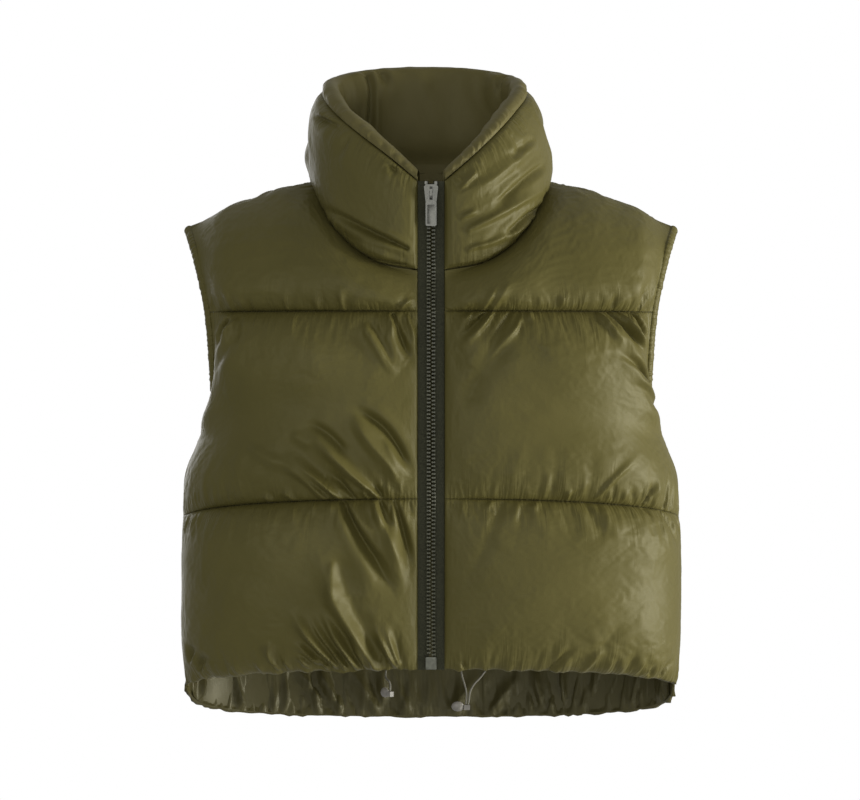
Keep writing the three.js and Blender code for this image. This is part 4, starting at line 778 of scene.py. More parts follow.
def to_range(nodes, links, value, low, high):
    node = nodes.new("ShaderNodeMapRange")
    node.inputs["To Min"].default_value = low
    node.inputs["To Max"].default_value = high
    links.new(value, node.inputs["Value"])
    return node.outputs["Result"]


def bump(nodes, links, height, distance, strength, before=None):
    node = nodes.new("ShaderNodeBump")
    node.inputs["Distance"].default_value = distance
    node.inputs["Strength"].default_value = strength
    links.new(height, node.inputs["Height"])
    if before is not None:
        links.new(before, node.inputs["Normal"])
    return node.outputs["Normal"]


def weave(nodes, links, coords, pitch):
    """Threads running both ways, the height of a plain weave."""
    waves = []
    for direction in ("X", "Z"):
        node = nodes.new("ShaderNodeTexWave")
        node.bands_direction = direction
        node.inputs["Scale"].default_value = 2 * math.pi / (20 * pitch)
        node.inputs["Distortion"].default_value = 0.6
        node.inputs["Detail"].default_value = 1
        links.new(coords, node.inputs["Vector"])
        waves.append(node.outputs["Fac"])
    return combined(nodes, links, "ADD", *waves)


def combined(nodes, links, operation, first, second):
    """Two values, each a socket or a number, joined by a sum of this kind."""
    node = nodes.new("ShaderNodeMath")
    node.operation = operation
    for socket, value in zip(node.inputs, (first, second)):
        if isinstance(value, (int, float)):
            socket.default_value = value
        else:
            links.new(value, socket)
    return node.outputs["Value"]


def drag_lines(nodes, links, coords):
    """Long faint lines where the cloth is drawn down to the front opening, the same way on each side."""
    parts = nodes.new("ShaderNodeSeparateXYZ")
    links.new(coords, parts.inputs["Vector"])
    aside = combined(nodes, links, "ABSOLUTE", parts.outputs["X"], 0.0)
    turn = (math.cos(DRAG_ANGLE), math.sin(DRAG_ANGLE))

    def turned(aside_share, up_share):
        return combined(nodes, links, "ADD", combined(nodes, links, "MULTIPLY", aside, aside_share),
                        combined(nodes, links, "MULTIPLY", parts.outputs["Z"], up_share))

    whole = nodes.new("ShaderNodeCombineXYZ")
    links.new(turned(turn[0] * DRAG_STRETCH, turn[1] * DRAG_STRETCH), whole.inputs["X"])
    links.new(turned(-turn[1], turn[0]), whole.inputs["Y"])
    links.new(parts.outputs["X"], whole.inputs["Z"])
    return noise(nodes, links, whole.outputs["Vector"], DRAG_SCALE, 3, 0.55)


def seam_pleats(nodes, links):
    """Fine pleats running out from the stitching, where a piece carries its place along a seam."""
    place = nodes.new("ShaderNodeAttribute")
    place.attribute_name = "seam_place"
    hold = nodes.new("ShaderNodeAttribute")
    hold.attribute_name = "seam_hold"
    waves = noise(nodes, links, place.outputs["Vector"], PLEAT_SCALE, 1.5, 0.45)
    centred = combined(nodes, links, "SUBTRACT", waves, 0.5)
    return combined(nodes, links, "MULTIPLY", centred, hold.outputs["Fac"])


def nylon(name, dark, light, rough, level, crinkle, sheen):
    """Soft nylon, between two colours, with crinkles, drag lines, pleats beside the seams and a fine weave."""
    material, nodes, links, shader = new_material(name)
    coords = nodes.new("ShaderNodeTexCoord").outputs["Object"]
    tone = noise(nodes, links, coords, 14, 4, 0.55)
    links.new(ramp(nodes, links, tone, ((0.3, dark), (0.7, light))), shader.inputs["Base Color"])
    links.new(to_range(nodes, links, noise(nodes, links, coords, 55, 4), rough[0], rough[1]),
              shader.inputs["Roughness"])
    shader.inputs["Specular IOR Level"].default_value = level
    shader.inputs["Sheen Weight"].default_value = sheen
    shader.inputs["Sheen Roughness"].default_value = 0.45
    shader.inputs["Sheen Tint"].default_value = (0.62, 0.58, 0.34, 1)
    shader.inputs["Specular Tint"].default_value = (1, 0.97, 0.74, 1)
    wide = noise(nodes, links, coords, 26, 3, 0.5, 0.6, (1, 1, 0.6))
    small = noise(nodes, links, coords, 120, 3, 0.55, 0.3, (1, 1, 0.45))
    normal = bump(nodes, links, wide, 0.0022, crinkle)
    normal = bump(nodes, links, small, 0.0004, crinkle, normal)
    normal = bump(nodes, links, drag_lines(nodes, links, coords), DRAG_HEIGHT, DRAG_STRENGTH, normal)
    normal = bump(nodes, links, seam_pleats(nodes, links), PLEAT_HEIGHT, 1.0, normal)
    normal = bump(nodes, links, weave(nodes, links, coords, THREAD_PITCH), 0.00004, 0.5, normal)
    links.new(normal, shader.inputs["Normal"])
    return material


SHELL = nylon("shell_nylon", (0.088, 0.0765, 0.0195), (0.102, 0.0885, 0.024), (0.43, 0.53), 0.27, 0.1, 0.05)
# The facing is the shell's cloth, with lighter colours as painted light against the shade it sits in
FACING = nylon("facing_nylon_painted_light", (0.106, 0.091, 0.031), (0.122, 0.105, 0.037), (0.44, 0.54), 0.22, 0.12, 0.08)
# The lining and the panels' insides are the shell's olive cloth, glossier, with colours darker as painted shade
LINING = nylon("lining_nylon_painted_shade", (0.064, 0.056, 0.019), (0.078, 0.068, 0.024), (0.34, 0.44), 0.38, 0.2, 0.05)


def tape_material():
    material, nodes, links, shader = new_material("zip_tape_weave")
    coords = nodes.new("ShaderNodeTexCoord").outputs["Object"]
    tone = noise(nodes, links, coords, 900, 2)
    links.new(ramp(nodes, links, tone, ((0.35, (0.032, 0.0325, 0.019)), (0.7, (0.058, 0.059, 0.034)))),
              shader.inputs["Base Color"])
    shader.inputs["Roughness"].default_value = 0.85
    shader.inputs["Specular IOR Level"].default_value = 0.2
    threads = weave(nodes, links, coords, TAPE_PITCH)
    links.new(bump(nodes, links, threads, 0.0002, 0.7), shader.inputs["Normal"])
    return material


def teeth_material():
    material, nodes, links, shader = new_material("zip_teeth_plastic")
    coords = nodes.new("ShaderNodeTexCoord").outputs["Object"]
    tone = noise(nodes, links, coords, 300, 2)
    links.new(ramp(nodes, links, tone, ((0.35, (0.07, 0.071, 0.044)), (0.7, (0.105, 0.107, 0.066)))),
              shader.inputs["Base Color"])
    links.new(to_range(nodes, links, tone, 0.28, 0.42), shader.inputs["Roughness"])
    return material


def metal_material(name, colour, low, high):
    material, nodes, links, shader = new_material(name)
    coords = nodes.new("ShaderNodeTexCoord").outputs["Object"]
    wear = noise(nodes, links, coords, 420, 4)
    links.new(ramp(nodes, links, wear, ((0.3, tuple(0.7 * c for c in colour)), (0.7, colour))),
              shader.inputs["Base Color"])
    shader.inputs["Metallic"].default_value = 1
    links.new(to_range(nodes, links, wear, low, high), shader.inputs["Roughness"])
    links.new(bump(nodes, links, wear, 0.00008, 0.3), shader.inputs["Normal"])
    return material


def plain_material(name, dark, light, roughness, scale):
    material, nodes, links, shader = new_material(name)
    coords = nodes.new("ShaderNodeTexCoord").outputs["Object"]
    tone = noise(nodes, links, coords, scale, 3)
    links.new(ramp(nodes, links, tone, ((0.35, dark), (0.7, light))), shader.inputs["Base Color"])
    shader.inputs["Roughness"].default_value = roughness
    links.new(bump(nodes, links, tone, 0.0001, 0.3), shader.inputs["Normal"])
    return material


TAPE = tape_material()
TEETH = teeth_material()
METAL = metal_material("dark_metal", (0.15, 0.15, 0.13), 0.16, 0.3)
# Painted highlight: a lighter copy of the dark metal, put on the faces where glints show
GLINT_METAL = metal_material("painted_glint_metal", (0.17, 0.17, 0.15), 0.2, 0.34)
BOX_METAL = metal_material("box_metal", (0.2, 0.205, 0.165), 0.3, 0.45)
CORD = plain_material("cord_braid", (0.10, 0.095, 0.07), (0.19, 0.18, 0.14), 0.7, 1400)
LOCK = plain_material("lock_plastic", (0.17, 0.16, 0.135), (0.22, 0.205, 0.175), 0.35, 300)
THREAD = plain_material("thread", (0.022, 0.019, 0.009), (0.034, 0.030, 0.014), 0.55, 1500)


# Camera, floor and lights

FLOOR_LEVEL = -0.95
FLOOR_REACH = 9
BACKDROP_RADIUS = 8.9
AMBIENT = 0.39
# Each light's place, what it looks at, its size, its power and its colour
LIGHTS = {
    "key_right": ((2.75, -0.5, -0.32), (0.05, 0, -0.22), (0.7, 1.7), 93, (1, 0.985, 0.92)),
    "floor_bounce": ((1.3, -1.5, -1.5), (-0.1, 0.05, -0.48), (0.8, 0.8), 6, (1, 1, 1)),
    "fill_front": ((-0.7, -3.0, 0.3), (0, 0, -0.2), (2.2, 2.0), 20, (1, 1, 1)),
    "back_soft": ((-0.8, 2.4, 0.1), (0, 0, -0.2), (2.0, 1.6), 22, (1, 1, 1)),
}


def stage_piece(name, points, faces, brightness):
    """A pale surface that the camera sees and that lights nothing."""
    material, nodes, links, shader = new_material("pale_" + name)
    shader.inputs["Base Color"].default_value = (0, 0, 0, 1)
    shader.inputs["Specular IOR Level"].default_value = 0
    shader.inputs["Emission Color"].default_value = (1, 1, 1, 1)
    shader.inputs["Emission Strength"].default_value = brightness
    mesh = bpy.data.meshes.new(name)
    mesh.from_pydata(points, [], faces)
    mesh.materials.append(material)
    piece = new_object(name, mesh)
    piece.visible_diffuse = False
    piece.visible_glossy = False
    piece.visible_shadow = False
    return piece


def stage_backdrop():
    """A dome far outside the floor, seen behind the garment from every side."""
    rings, turns = 12, 32
    points, faces = [], []
    for ring in range(rings + 1):
        tilt = math.pi * ring / rings
        level, height = BACKDROP_RADIUS * math.sin(tilt), BACKDROP_RADIUS * math.cos(tilt)
        for turn in range(turns):
            angle = 2 * math.pi * turn / turns
            points.append((level * math.cos(angle), level * math.sin(angle), height))
    for ring in range(rings):
        for turn in range(turns):
            a, b = ring * turns + turn, ring * turns + (turn + 1) % turns
            faces.append((a, b, b + turns, a + turns))
    return stage_piece("backdrop", points, faces, 1.0)


def stage():
    camera = new_object("photo_camera", bpy.data.cameras.new("photo_camera"))
    camera.data.lens = CAMERA_LENS
    camera.data.sensor_width = CAMERA_SENSOR
    camera.location = [value * MM for value in CAMERA_PLACE]
    camera.rotation_euler = (math.pi / 2, 0, 0)
    bpy.context.scene.camera = camera

    corners = [(x * FLOOR_REACH, y * FLOOR_REACH, FLOOR_LEVEL) for x, y in ((-1, -1), (1, -1), (1, 1), (-1, 1))]
    floor = stage_piece("floor", corners, [(0, 1, 2, 3)], 1.0)
    backdrop = stage_backdrop()

    world = bpy.data.worlds.new("studio")
    world.use_nodes = True
    bpy.context.scene.world = world
    background = next(node for node in world.node_tree.nodes if node.type == "BACKGROUND")
    background.inputs["Color"].default_value = (1, 1, 1, 1)
    background.inputs["Strength"].default_value = AMBIENT

    for name, (place, target, size, power, colour) in LIGHTS.items():
        light = bpy.data.lights.new(name, "AREA")
        light.shape = "RECTANGLE"
        light.size, light.size_y = size
        light.energy = power
        light.color = colour
        holder = new_object(name, light)
        holder.location = place
        way = Vector(target) - Vector(place)
        holder.rotation_euler = way.to_track_quat("-Z", "Y").to_euler()
    bpy.context.scene.view_settings.view_transform = "Standard"
    bpy.context.scene.view_settings.look = "None"


stage()


# Drawcord

def cord(name, route):
    """A cord along a route of points, with its length and where it comes out, in metres."""
    line = by_length(catmull_rom(route))(np.linspace(0, 1, 22)) * MM
    data = bpy.data.curves.new("cord_" + name, "CURVE")
    data.dimensions = "3D"
    data.bevel_depth = CORD_DIAMETER / 2 * MM
    data.bevel_resolution = 3
    data.use_fill_caps = True
    spline = data.splines.new("POLY")
    spline.points.add(len(line) - 1)
    for point, place in zip(spline.points, line):
        point.co = (*place, 1)
    data.materials.append(CORD)
    piece = new_object("cord_" + name, data)
    return piece, float(np.sum(np.linalg.norm(np.diff(line, axis=0), axis=1))), tuple(line[0])


for cord_name, route in CORDS.items():
    piece, length, start = cord(cord_name, route)
    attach(piece, "garment")
    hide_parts(cord_name)


# Panels

# A panel's cloth is cut this much larger than the CAD's surface, and settles for this many frames
EASE = (1.035, 1.03, 1.0)
CLOTH_FRAMES = 16
PRESSURE = 3.0
CLOTH_CAP = 8.0
FRONT_COLUMNS = 96
FRONT_ROWS = {"lower": 64, "chest": 64, "yoke": 48}
BACK_COLUMNS = 140
BACK_ROWS = {"lower": 56, "chest": 56, "yoke": 44}
# The hem's waves: how far apart, how high and how wide each may be, the height taken off them all, and how
# far they lift the cloth, pull its edge down and reach up it
HEM_APART = (5, 22)
HEM_HEIGHT = (0.2, 1.2)
HEM_WIDTH = (2.2, 7)
HEM_LEVEL = 0.4
HEM_LIFT = 2.0
HEM_DROP = 1.8
HEM_REACH = 8
PLEAT_RUN = 7.0
PLEAT_REACH = (7.0, 26.0)
PLEAT_STRETCH = 0.09
SEED_STEP = 0.37


def relaxed(name, grid, rest, frames, pressure, cap):
    """Lets a panel's face settle as cloth under the padding's pressure, held at its edges."""
    if frames < 2:
        return grid
    rows, columns = grid.shape[:2]
    obj = mesh_object(name, grid, grid_faces(rows, columns), SHELL)
    obj.shape_key_add(name="Basis")
    key = obj.shape_key_add(name="rest")
    key.data.foreach_set("co", (rest * MM).astype(np.float32).ravel())
    held = obj.vertex_groups.new(name="held")
    held.add(border(rows, columns).tolist(), 1.0, "REPLACE")
    cloth = obj.modifiers.new("cloth", "CLOTH")
    settings = cloth.settings
    settings.quality = 6
    settings.mass = 0.08
    settings.air_damping = 4
    settings.tension_stiffness = 25
    settings.compression_stiffness = 25
    settings.shear_stiffness = 8
    settings.bending_stiffness = 0.35
    settings.tension_damping = 20
    settings.compression_damping = 20
    settings.shear_damping = 20
    settings.bending_damping = 2
    settings.use_pressure = True
    settings.uniform_pressure_force = pressure
    settings.vertex_group_mass = "held"
    settings.rest_shape_key = key
    settings.effector_weights.gravity = 0
    cloth.collision_settings.use_collision = False
    cloth.collision_settings.use_self_collision = False
    scene = bpy.context.scene
    for step in range(1, frames + 1):
        scene.frame_set(step)
    result = obj.evaluated_get(bpy.context.evaluated_depsgraph_get())
    moved = np.empty(rows * columns * 3, np.float32)
    result.data.vertices.foreach_get("co", moved)
    moved = moved.reshape(grid.shape).astype(float) / MM
    shift = moved - grid
    size = np.linalg.norm(shift, axis=-1, keepdims=True)
    shift *= cap / (cap + size)
    mesh = obj.data
    bpy.data.objects.remove(obj)
    bpy.data.meshes.remove(mesh)
    scene.frame_set(1)
    return grid + shift


def crests(x, z, folds):
    """The sharp crests of some folds."""
    lift = np.zeros(x.shape)
    for points, depth, width, held in folds:
        lift += fold_field(x, z, (points, CREST_SHARE * depth, CREST_WIDTH * width, held), True)
    return lift


def fine_relief(grid, place, folds, seed):
    """The folds' sharp crests and the tiny puckers at the stitching, added after the cloth has settled."""
    fields = {name: finer(grid[name]) for name in ("puff", "along", "down", "up", "neck")}
    base = upsampled(grid["base"])
    x, z = base[..., 0], base[..., 2]
    height = PUFFS[place.split("_")[1]][0]
    lift = crests(x, z, folds) * smoothstep(fields["puff"] / (0.2 * height))
    length = float(fields["along"][0, -1])
    ticks = puckers(fields["along"], fields["down"], length, seed + 5, 2.8, 0.8, 30, (1.0, 1.7))
    upper = puckers(fields["along"], fields["up"], length, seed + 6, 2.6, 0.9, 32, (1.0, 1.7))
    ticks += upper * (1 - fields["neck"])
    lift += ticks * smoothstep(fields["puff"] / (0.05 * height))
    if place.endswith("lower"):
        ripple = hem_ripple(fields["along"], length, seed + 7) * np.exp(-fields["down"] / HEM_REACH)
        lift += HEM_LIFT * ripple
        return lift, -HEM_DROP * ripple
    return lift, np.zeros(x.shape)


def hem_ripple(along, length, seed):
    """The hem's elastic draws its free edge into small uneven waves."""
    random = np.random.default_rng(seed)
    ripple = np.zeros(along.shape)
    place = 0.0
    while place < length:
        place += random.uniform(*HEM_APART)
        ripple += random.uniform(*HEM_HEIGHT) * np.exp(-((along - place) / random.uniform(*HEM_WIDTH)) ** 2)
    return ripple - HEM_LEVEL


def seam_holds(along, distance, seed):
    """How strongly a seam gathers the cloth at each point, over a reach that varies along it."""
    run = along / PLEAT_RUN
    uneven = 0.5 + 0.25 * np.sin(run + seed) + 0.25 * np.sin(2.7 * run + 2.1 * seed)
    reach = PLEAT_REACH[0] + (PLEAT_REACH[1] - PLEAT_REACH[0]) * uneven ** 1.5
    return (0.45 + 0.55 * uneven) * np.exp(-(distance / reach) ** 1.3)


def mark_seams(obj, along, distance, hold, seed):
    """Gives a piece's face its place along the seam and its gather, for the cloth's bump."""
    count = len(obj.data.vertices)
    places = np.zeros((count, 3))
    marks = [along * MM, PLEAT_STRETCH * distance * MM, np.full(along.shape, SEED_STEP * seed)]
    places[:along.size] = np.stack(marks, axis=-1).reshape(-1, 3)
    holds = np.zeros(count)
    holds[:along.size] = hold.ravel()
    obj.data.attributes.new("seam_place", "FLOAT_VECTOR", "POINT").data.foreach_set("vector", places.ravel())
    obj.data.attributes.new("seam_hold", "FLOAT", "POINT").data.foreach_set("value", holds)


def panel_object(node, place, side, columns, rows, folds, seed):
    grid = panel_grid(place, side, columns, rows, folds, seed)
    centre = grid["smooth"].mean(axis=(0, 1))
    rest = centre + (grid["smooth"] - centre) * np.array(EASE)
    face = relaxed(node + "_cloth", grid["face"], rest, CLOTH_FRAMES, side * PRESSURE, CLOTH_CAP)
    lift, drop = fine_relief(grid, place, folds, seed)
    face = upsampled(face) + upsampled(grid["out"]) * lift[..., None]
    face[..., 2] += drop
    inside = grid["base"] - grid["out"] * WALL / 2
    inside[..., 2] += drop[::2, ::2]
    piece = turned_out(wall_object("puffed_" + node, face, inside, [SHELL, LINING], False))
    along, low, high = (finer(grid[name]) for name in ("along", "down", "up"))
    bare = 1 - finer(grid["neck"])
    hold = np.maximum(seam_holds(along, low, seed), seam_holds(along, high, seed + 3) * bare)
    mark_seams(piece, along, np.minimum(low, high), hold, seed)
    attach(piece, "garment")
    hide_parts(node)


for number, (side_name, side) in enumerate((("left", 1), ("right", -1))):
    for kind, rows in FRONT_ROWS.items():
        node = f"front_{kind}_{side_name}"
        panel_object(node, "front_" + kind, side, FRONT_COLUMNS, rows, FOLDS[node],
                     SEED + 10 * number + len(kind))
for kind, rows in BACK_ROWS.items():
    node = "back_" + kind
    panel_object(node, node, 1, BACK_COLUMNS, rows, BACK_FOLDS[node], SEED + 40 + len(kind))


# Collar

COLLAR_COLUMNS = 220
COLLAR_ROWS = 40
LEAN_REACH = 40
# The photograph's folds fade in from this far ahead of the neck's middle, over this much more
AHEAD_START = 15
AHEAD_REACH = 30
# Where the collar's sag is full and where it fades, as shares of its height
SAG_FULL = 0.1
SAG_FADE = (0.12, 0.4)
COLLAR_FOLD_SHARE = 1.2
COLLAR_EASE = (1.02, 1.02, 1.01)
COLLAR_CAP = 4.0
COLLAR_BACK_FOLDS = (
    ([(150, 20), (190, 46), (220, 70)], -2.6, 8, False),
    ([(170, 14), (214, 36), (250, 60)], 2.2, 9, False),
    ([(300, 12), (340, 40), (360, 74)], -2.2, 9, False),
    ([(350, 10), (392, 40)], 2.0, 9, False),
    ([(420, 20), (450, 50), (462, 78)], -2.6, 8, False),
    ([(96, 84), (110, 50)], -2.2, 6, True),
    ([(536, 84), (524, 48)], -2.4, 6, True),
    ([(240, 86), (232, 60)], -1.6, 6, True),
    ([(410, 86), (402, 62)], -1.6, 6, True),
)
# The facing's lower edge, below this height, hangs further down behind the neck
FLAP_TOP = -1.5
FLAP_DROP = 11
FLAP_START = 20
FLAP_REACH = 50
FACING_ROWS = 45
FACING_BACK_ROWS = 23
FACING_HEIGHT = 100
FACING_PROBE = (30, 100)
FACING_HOLD = 0.7
FACING_FOLDS = (
    ([(258, 30), (263, 50), (262, 84)], -5.0, 4, False),
    ([(246, 30), (252, 60)], 2.4, 6, False),
    ([(272, 30), (284, 54)], -3.2, 4, False),
    ([(330, 40), (352, 78)], -1.4, 14, False),
    ([(411, 28), (403, 56)], -3.4, 4, False),
    ([(396, 34), (388, 66)], 1.8, 8, False),
)


def collar_curve(column, lean):
    half = np.array([row[column] for row in COLLAR], float)
    points = np.vstack([mirrored(half), half[:-1][::-1]])
    points[:, 0] += lean * smoothstep((points[:, 1] - half[0, 1]) / LEAN_REACH)
    return curve(points)


neck_curve = collar_curve(0, 0)
rim_curve = collar_curve(1, COLLAR_LEAN)


def collar_frame(u):
    neck, rim = neck_curve(u), rim_curve(u)
    out = (neck + rim) / 2 - NECK_CENTRE
    out[:, 2] = 0
    out /= np.linalg.norm(out, axis=1, keepdims=True)
    start = neck.copy()
    start[:, 2] += NECK_CLEARANCE + (WALL / 2 + 0.4) * np.abs(outward(neck)[:, 2])
    return start, rim, out


def ahead_share(base):
    """1 in front of the neck and 0 behind it."""
    return smoothstep((-base[..., 1] - AHEAD_START) / AHEAD_REACH)


def collar_shell():
    u, t = spacing(COLLAR_COLUMNS, 0.2), spacing(COLLAR_ROWS, 0.6)
    start, rim, out = collar_frame(u)
    base = start[None] * (1 - t[:, None, None]) + rim[None] * t[:, None, None]
    u_grid, t_grid = np.meshgrid(u, t)
    along, up, down = u_grid * COLLAR_LENGTH, t_grid * COLLAR_HEIGHT, (1 - t_grid) * COLLAR_HEIGHT
    edge = np.minimum(u_grid, 1 - u_grid) * COLLAR_LENGTH
    puff = COLLAR_PUFF * rise(up, COLLAR_RISE) * rise(down, COLLAR_RISE) * rise(edge, COLLAR_RISE)
    place = (1 - np.abs(2 * u - 1)) * (len(COLLAR) - 1)
    sag = np.interp(place, range(len(COLLAR)), [row[2] for row in COLLAR])[None]
    sag = sag * smoothstep(t_grid / SAG_FULL) * (1 - smoothstep((t_grid - SAG_FADE[0]) / SAG_FADE[1]))
    x, z = base[..., 0], base[..., 2]
    lift = puff * (1 + 0.06 * lumps(along, z, SEED + 60, 90))
    shown = ahead_share(base) * smoothstep(puff / (0.25 * COLLAR_PUFF))
    for fold in FOLDS["collar"]:
        lift = lift + COLLAR_FOLD_SHARE * fold_field(x, z, fold) * shown
    for fold in COLLAR_BACK_FOLDS:
        lift = lift + fold_field(along, up, fold) * smoothstep(puff / 3)
    crimps = (puckers(along, up, COLLAR_LENGTH, SEED + 61, 12, 0.8, 20)
              + puckers(along, down, COLLAR_LENGTH, SEED + 62, 11, 0.9, 18))
    lift = lift + crimps * smoothstep(puff / 2)
    way = np.broadcast_to(out[None], base.shape)
    smooth = base + way * (WALL / 2 + puff)[..., None]
    face = base + way * (WALL / 2 + np.maximum(lift, 0))[..., None]
    face[..., 2] -= sag
    smooth[..., 2] -= sag
    centre = smooth.mean(axis=(0, 1))
    rest = centre + (smooth - centre) * np.array(COLLAR_EASE)
    face = relaxed("collar_cloth", face, rest, CLOTH_FRAMES, -PRESSURE, COLLAR_CAP)

    base_fine = upsampled(base)
    puff, along, up, down = finer(puff), finer(along), finer(up), finer(down)
    relief = crests(base_fine[..., 0], base_fine[..., 2], FOLDS["collar"]) * ahead_share(base_fine)
    relief += puckers(along, up, COLLAR_LENGTH, SEED + 63, 4.0, 0.6, 22, (1.2, 2.0))
    relief += puckers(along, down, COLLAR_LENGTH, SEED + 64, 4.0, 0.7, 24, (1.2, 2.0))
    face = upsampled(face) + upsampled(way) * (relief * smoothstep(puff / 2))[..., None]
    inside = base - way * WALL / 2
    hold = np.maximum(seam_holds(along, up, 1.3), seam_holds(along, down, 4.1))
    return face, inside, (along, np.minimum(up, down), hold)


def section(rows, count):
    """Points evenly spaced by number along a smooth line through a collar section's rows."""
    line = catmull_rom(rows, 12)
    return interpolated(line, np.linspace(0, 1, len(line)), np.linspace(0, 1, count))


def facing():
    u = spacing(COLLAR_COLUMNS, 0.2)
    start, rim, out = collar_frame(u)

    def placed(profile):
        down, inward, up = (profile[:, i][:, None, None] for i in range(3))
        points = rim[None] * (1 - down) + start[None] * down - out[None] * inward
        points[..., 2] += up[..., 0]
        behind = smoothstep((start[None, :, 1] + FLAP_START) / FLAP_REACH)
        points[..., 2] -= (up[..., 0] < FLAP_TOP) * FLAP_DROP * behind
        return points

    face = placed(section(FACING_FACE, FACING_ROWS))
    inside = placed(section(FACING_BACK, FACING_BACK_ROWS))
    along = np.broadcast_to(u[None] * COLLAR_LENGTH, face.shape[:2])
    down = np.broadcast_to(np.linspace(0, FACING_HEIGHT, FACING_ROWS)[:, None], face.shape[:2])
    lift = 1.2 * lumps(along, down, SEED + 70, 60)
    for fold in FACING_FOLDS:
        lift = lift + fold_field(along, down, fold)
    lift *= smoothstep((down - 26) / 16) * smoothstep((90 - down) / 14)
    lift *= smoothstep(np.minimum(along, COLLAR_LENGTH - along) / 12)
    rim_creases = puckers(along, down, COLLAR_LENGTH, SEED + 72, 7, 1.5, 34)
    lift += rim_creases * smoothstep(down / 10) * (1 - smoothstep((down - 20) / 16))
    normals = np.cross(np.gradient(face, axis=1), np.gradient(face, axis=0))
    normals /= np.linalg.norm(normals, axis=-1, keepdims=True)
    if np.dot(normals[FACING_PROBE], NECK_CENTRE - face[FACING_PROBE]) < 0:
        normals = -normals
    face = face + normals * lift[..., None]
    along, down = finer(along), finer(down)
    return upsampled(face), inside, (along, down, FACING_HOLD * seam_holds(along, down, 2.2))


for node, (face, inside, marks), material, slot in (
        ("collar_shell", collar_shell(), SHELL, "shell"), ("collar_facing", facing(), FACING, "lining")):
    piece = turned_out(wall_object("puffed_" + node, face, inside, [material, material], False))
    mark_seams(piece, *marks, 7)
    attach(piece, "garment")
    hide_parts(node)


# Armhole bindings

BINDING_GAP = -1.1
BINDING_WIDTH = 9
BINDING_THICKNESS = 4
BINDING_SECTION = ((0.02, 0.38), (0.12, 0.62), (0.3, 0.8), (0.55, 0.82), (0.8, 0.66), (0.96, 0.36), (1.02, 0),
                   (0.96, -0.36), (0.7, -0.6), (0.4, -0.6), (0.2, -0.45))
BINDING_STEPS = 620
BINDING_HOLD = 0.8
ARMHOLE_CENTRE = (0, 0, -138)
# The elastic's gathers: how many, and how far apart, how high and how wide each may be, as shares of the loop
GATHERS = 110
GATHER_APART = (0.004, 0.015)
GATHER_HEIGHT = (0.4, 1.3)
GATHER_WIDTH = (0.0016, 0.004)
GATHER_WIDER = 0.025
GATHER_OUT = 0.8
GATHER_IN = -0.4


def binding(side):
    """The gathered band round an armhole as a closed grid, with each point's length along it."""
    edges = [SEAMS["arm_front_low"], SEAMS["arm_front_high"], backwards(SEAMS["arm_back_high"]),
             backwards(SEAMS["arm_back_low"])]
    loop = np.vstack([edge(np.linspace(0, 1, 100, endpoint=False)) for edge in edges])
    loop = by_length(np.vstack([loop, loop[:1]]))(np.linspace(0, 1, BINDING_STEPS, endpoint=False))
    for _ in range(2):
        loop = (np.roll(loop, 1, axis=0) + 2 * loop + np.roll(loop, -1, axis=0)) / 4
    along = np.roll(loop, -1, axis=0) - np.roll(loop, 1, axis=0)
    along /= np.linalg.norm(along, axis=1, keepdims=True)
    out = outward(loop)
    reach = np.cross(out, along)
    reach /= np.linalg.norm(reach, axis=1, keepdims=True)
    towards = (np.array(ARMHOLE_CENTRE) - loop) * np.array((0, 1, 1))
    reach *= np.sign(np.sum(reach * towards, axis=1, keepdims=True))
    thick = out - along * np.sum(out * along, axis=1, keepdims=True)
    thick /= np.linalg.norm(thick, axis=1, keepdims=True)
    random = np.random.default_rng(SEED + 80)
    share = np.arange(BINDING_STEPS) / BINDING_STEPS
    wave = np.zeros(BINDING_STEPS)
    for centre_share in np.cumsum(random.uniform(*GATHER_APART, GATHERS)):
        offset = (share - centre_share % 1 + 0.5) % 1 - 0.5
        wave += random.uniform(*GATHER_HEIGHT) * np.exp(-(offset / random.uniform(*GATHER_WIDTH)) ** 2)
    wave = wave - wave.mean()
    points = []
    for across_share, through in BINDING_SECTION:
        fade = math.sin(math.pi * min(max(across_share, 0.0), 1.0)) ** 0.5
        wide = BINDING_GAP + across_share * BINDING_WIDTH * (1 + GATHER_WIDER * wave)
        high = through * BINDING_THICKNESS + (GATHER_OUT if through > 0 else GATHER_IN) * fade * wave
        points.append(loop + reach * wide[:, None] + thick * high[:, None])
    grid = mirrored(np.stack(points), side)
    faces = grid_faces(len(BINDING_SECTION), BINDING_STEPS, closed=True)
    lengths = np.cumsum(np.linalg.norm(np.roll(loop, -1, axis=0) - loop, axis=1))
    return grid, faces, np.broadcast_to(lengths, grid.shape[:2])


for side_name, side in (("left", 1), ("right", -1)):
    grid, faces, lengths = binding(side)
    piece = turned_out(mesh_object("ruched_binding_" + side_name, grid, faces, SHELL))
    mark_seams(piece, lengths, np.zeros(lengths.shape), np.full(lengths.shape, BINDING_HOLD), 11 + side)
    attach(piece, "garment")
    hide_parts("armhole_binding_" + side_name)


# The back's lining, which shows below the front hem

LINING_COLUMNS = 300
LINING_ROWS = 56
LINING_SIDES = (0.03, 0.97)
LINING_HEM = 0.012
LINING_GAP = 1.1
LINING_LEAST = -0.6
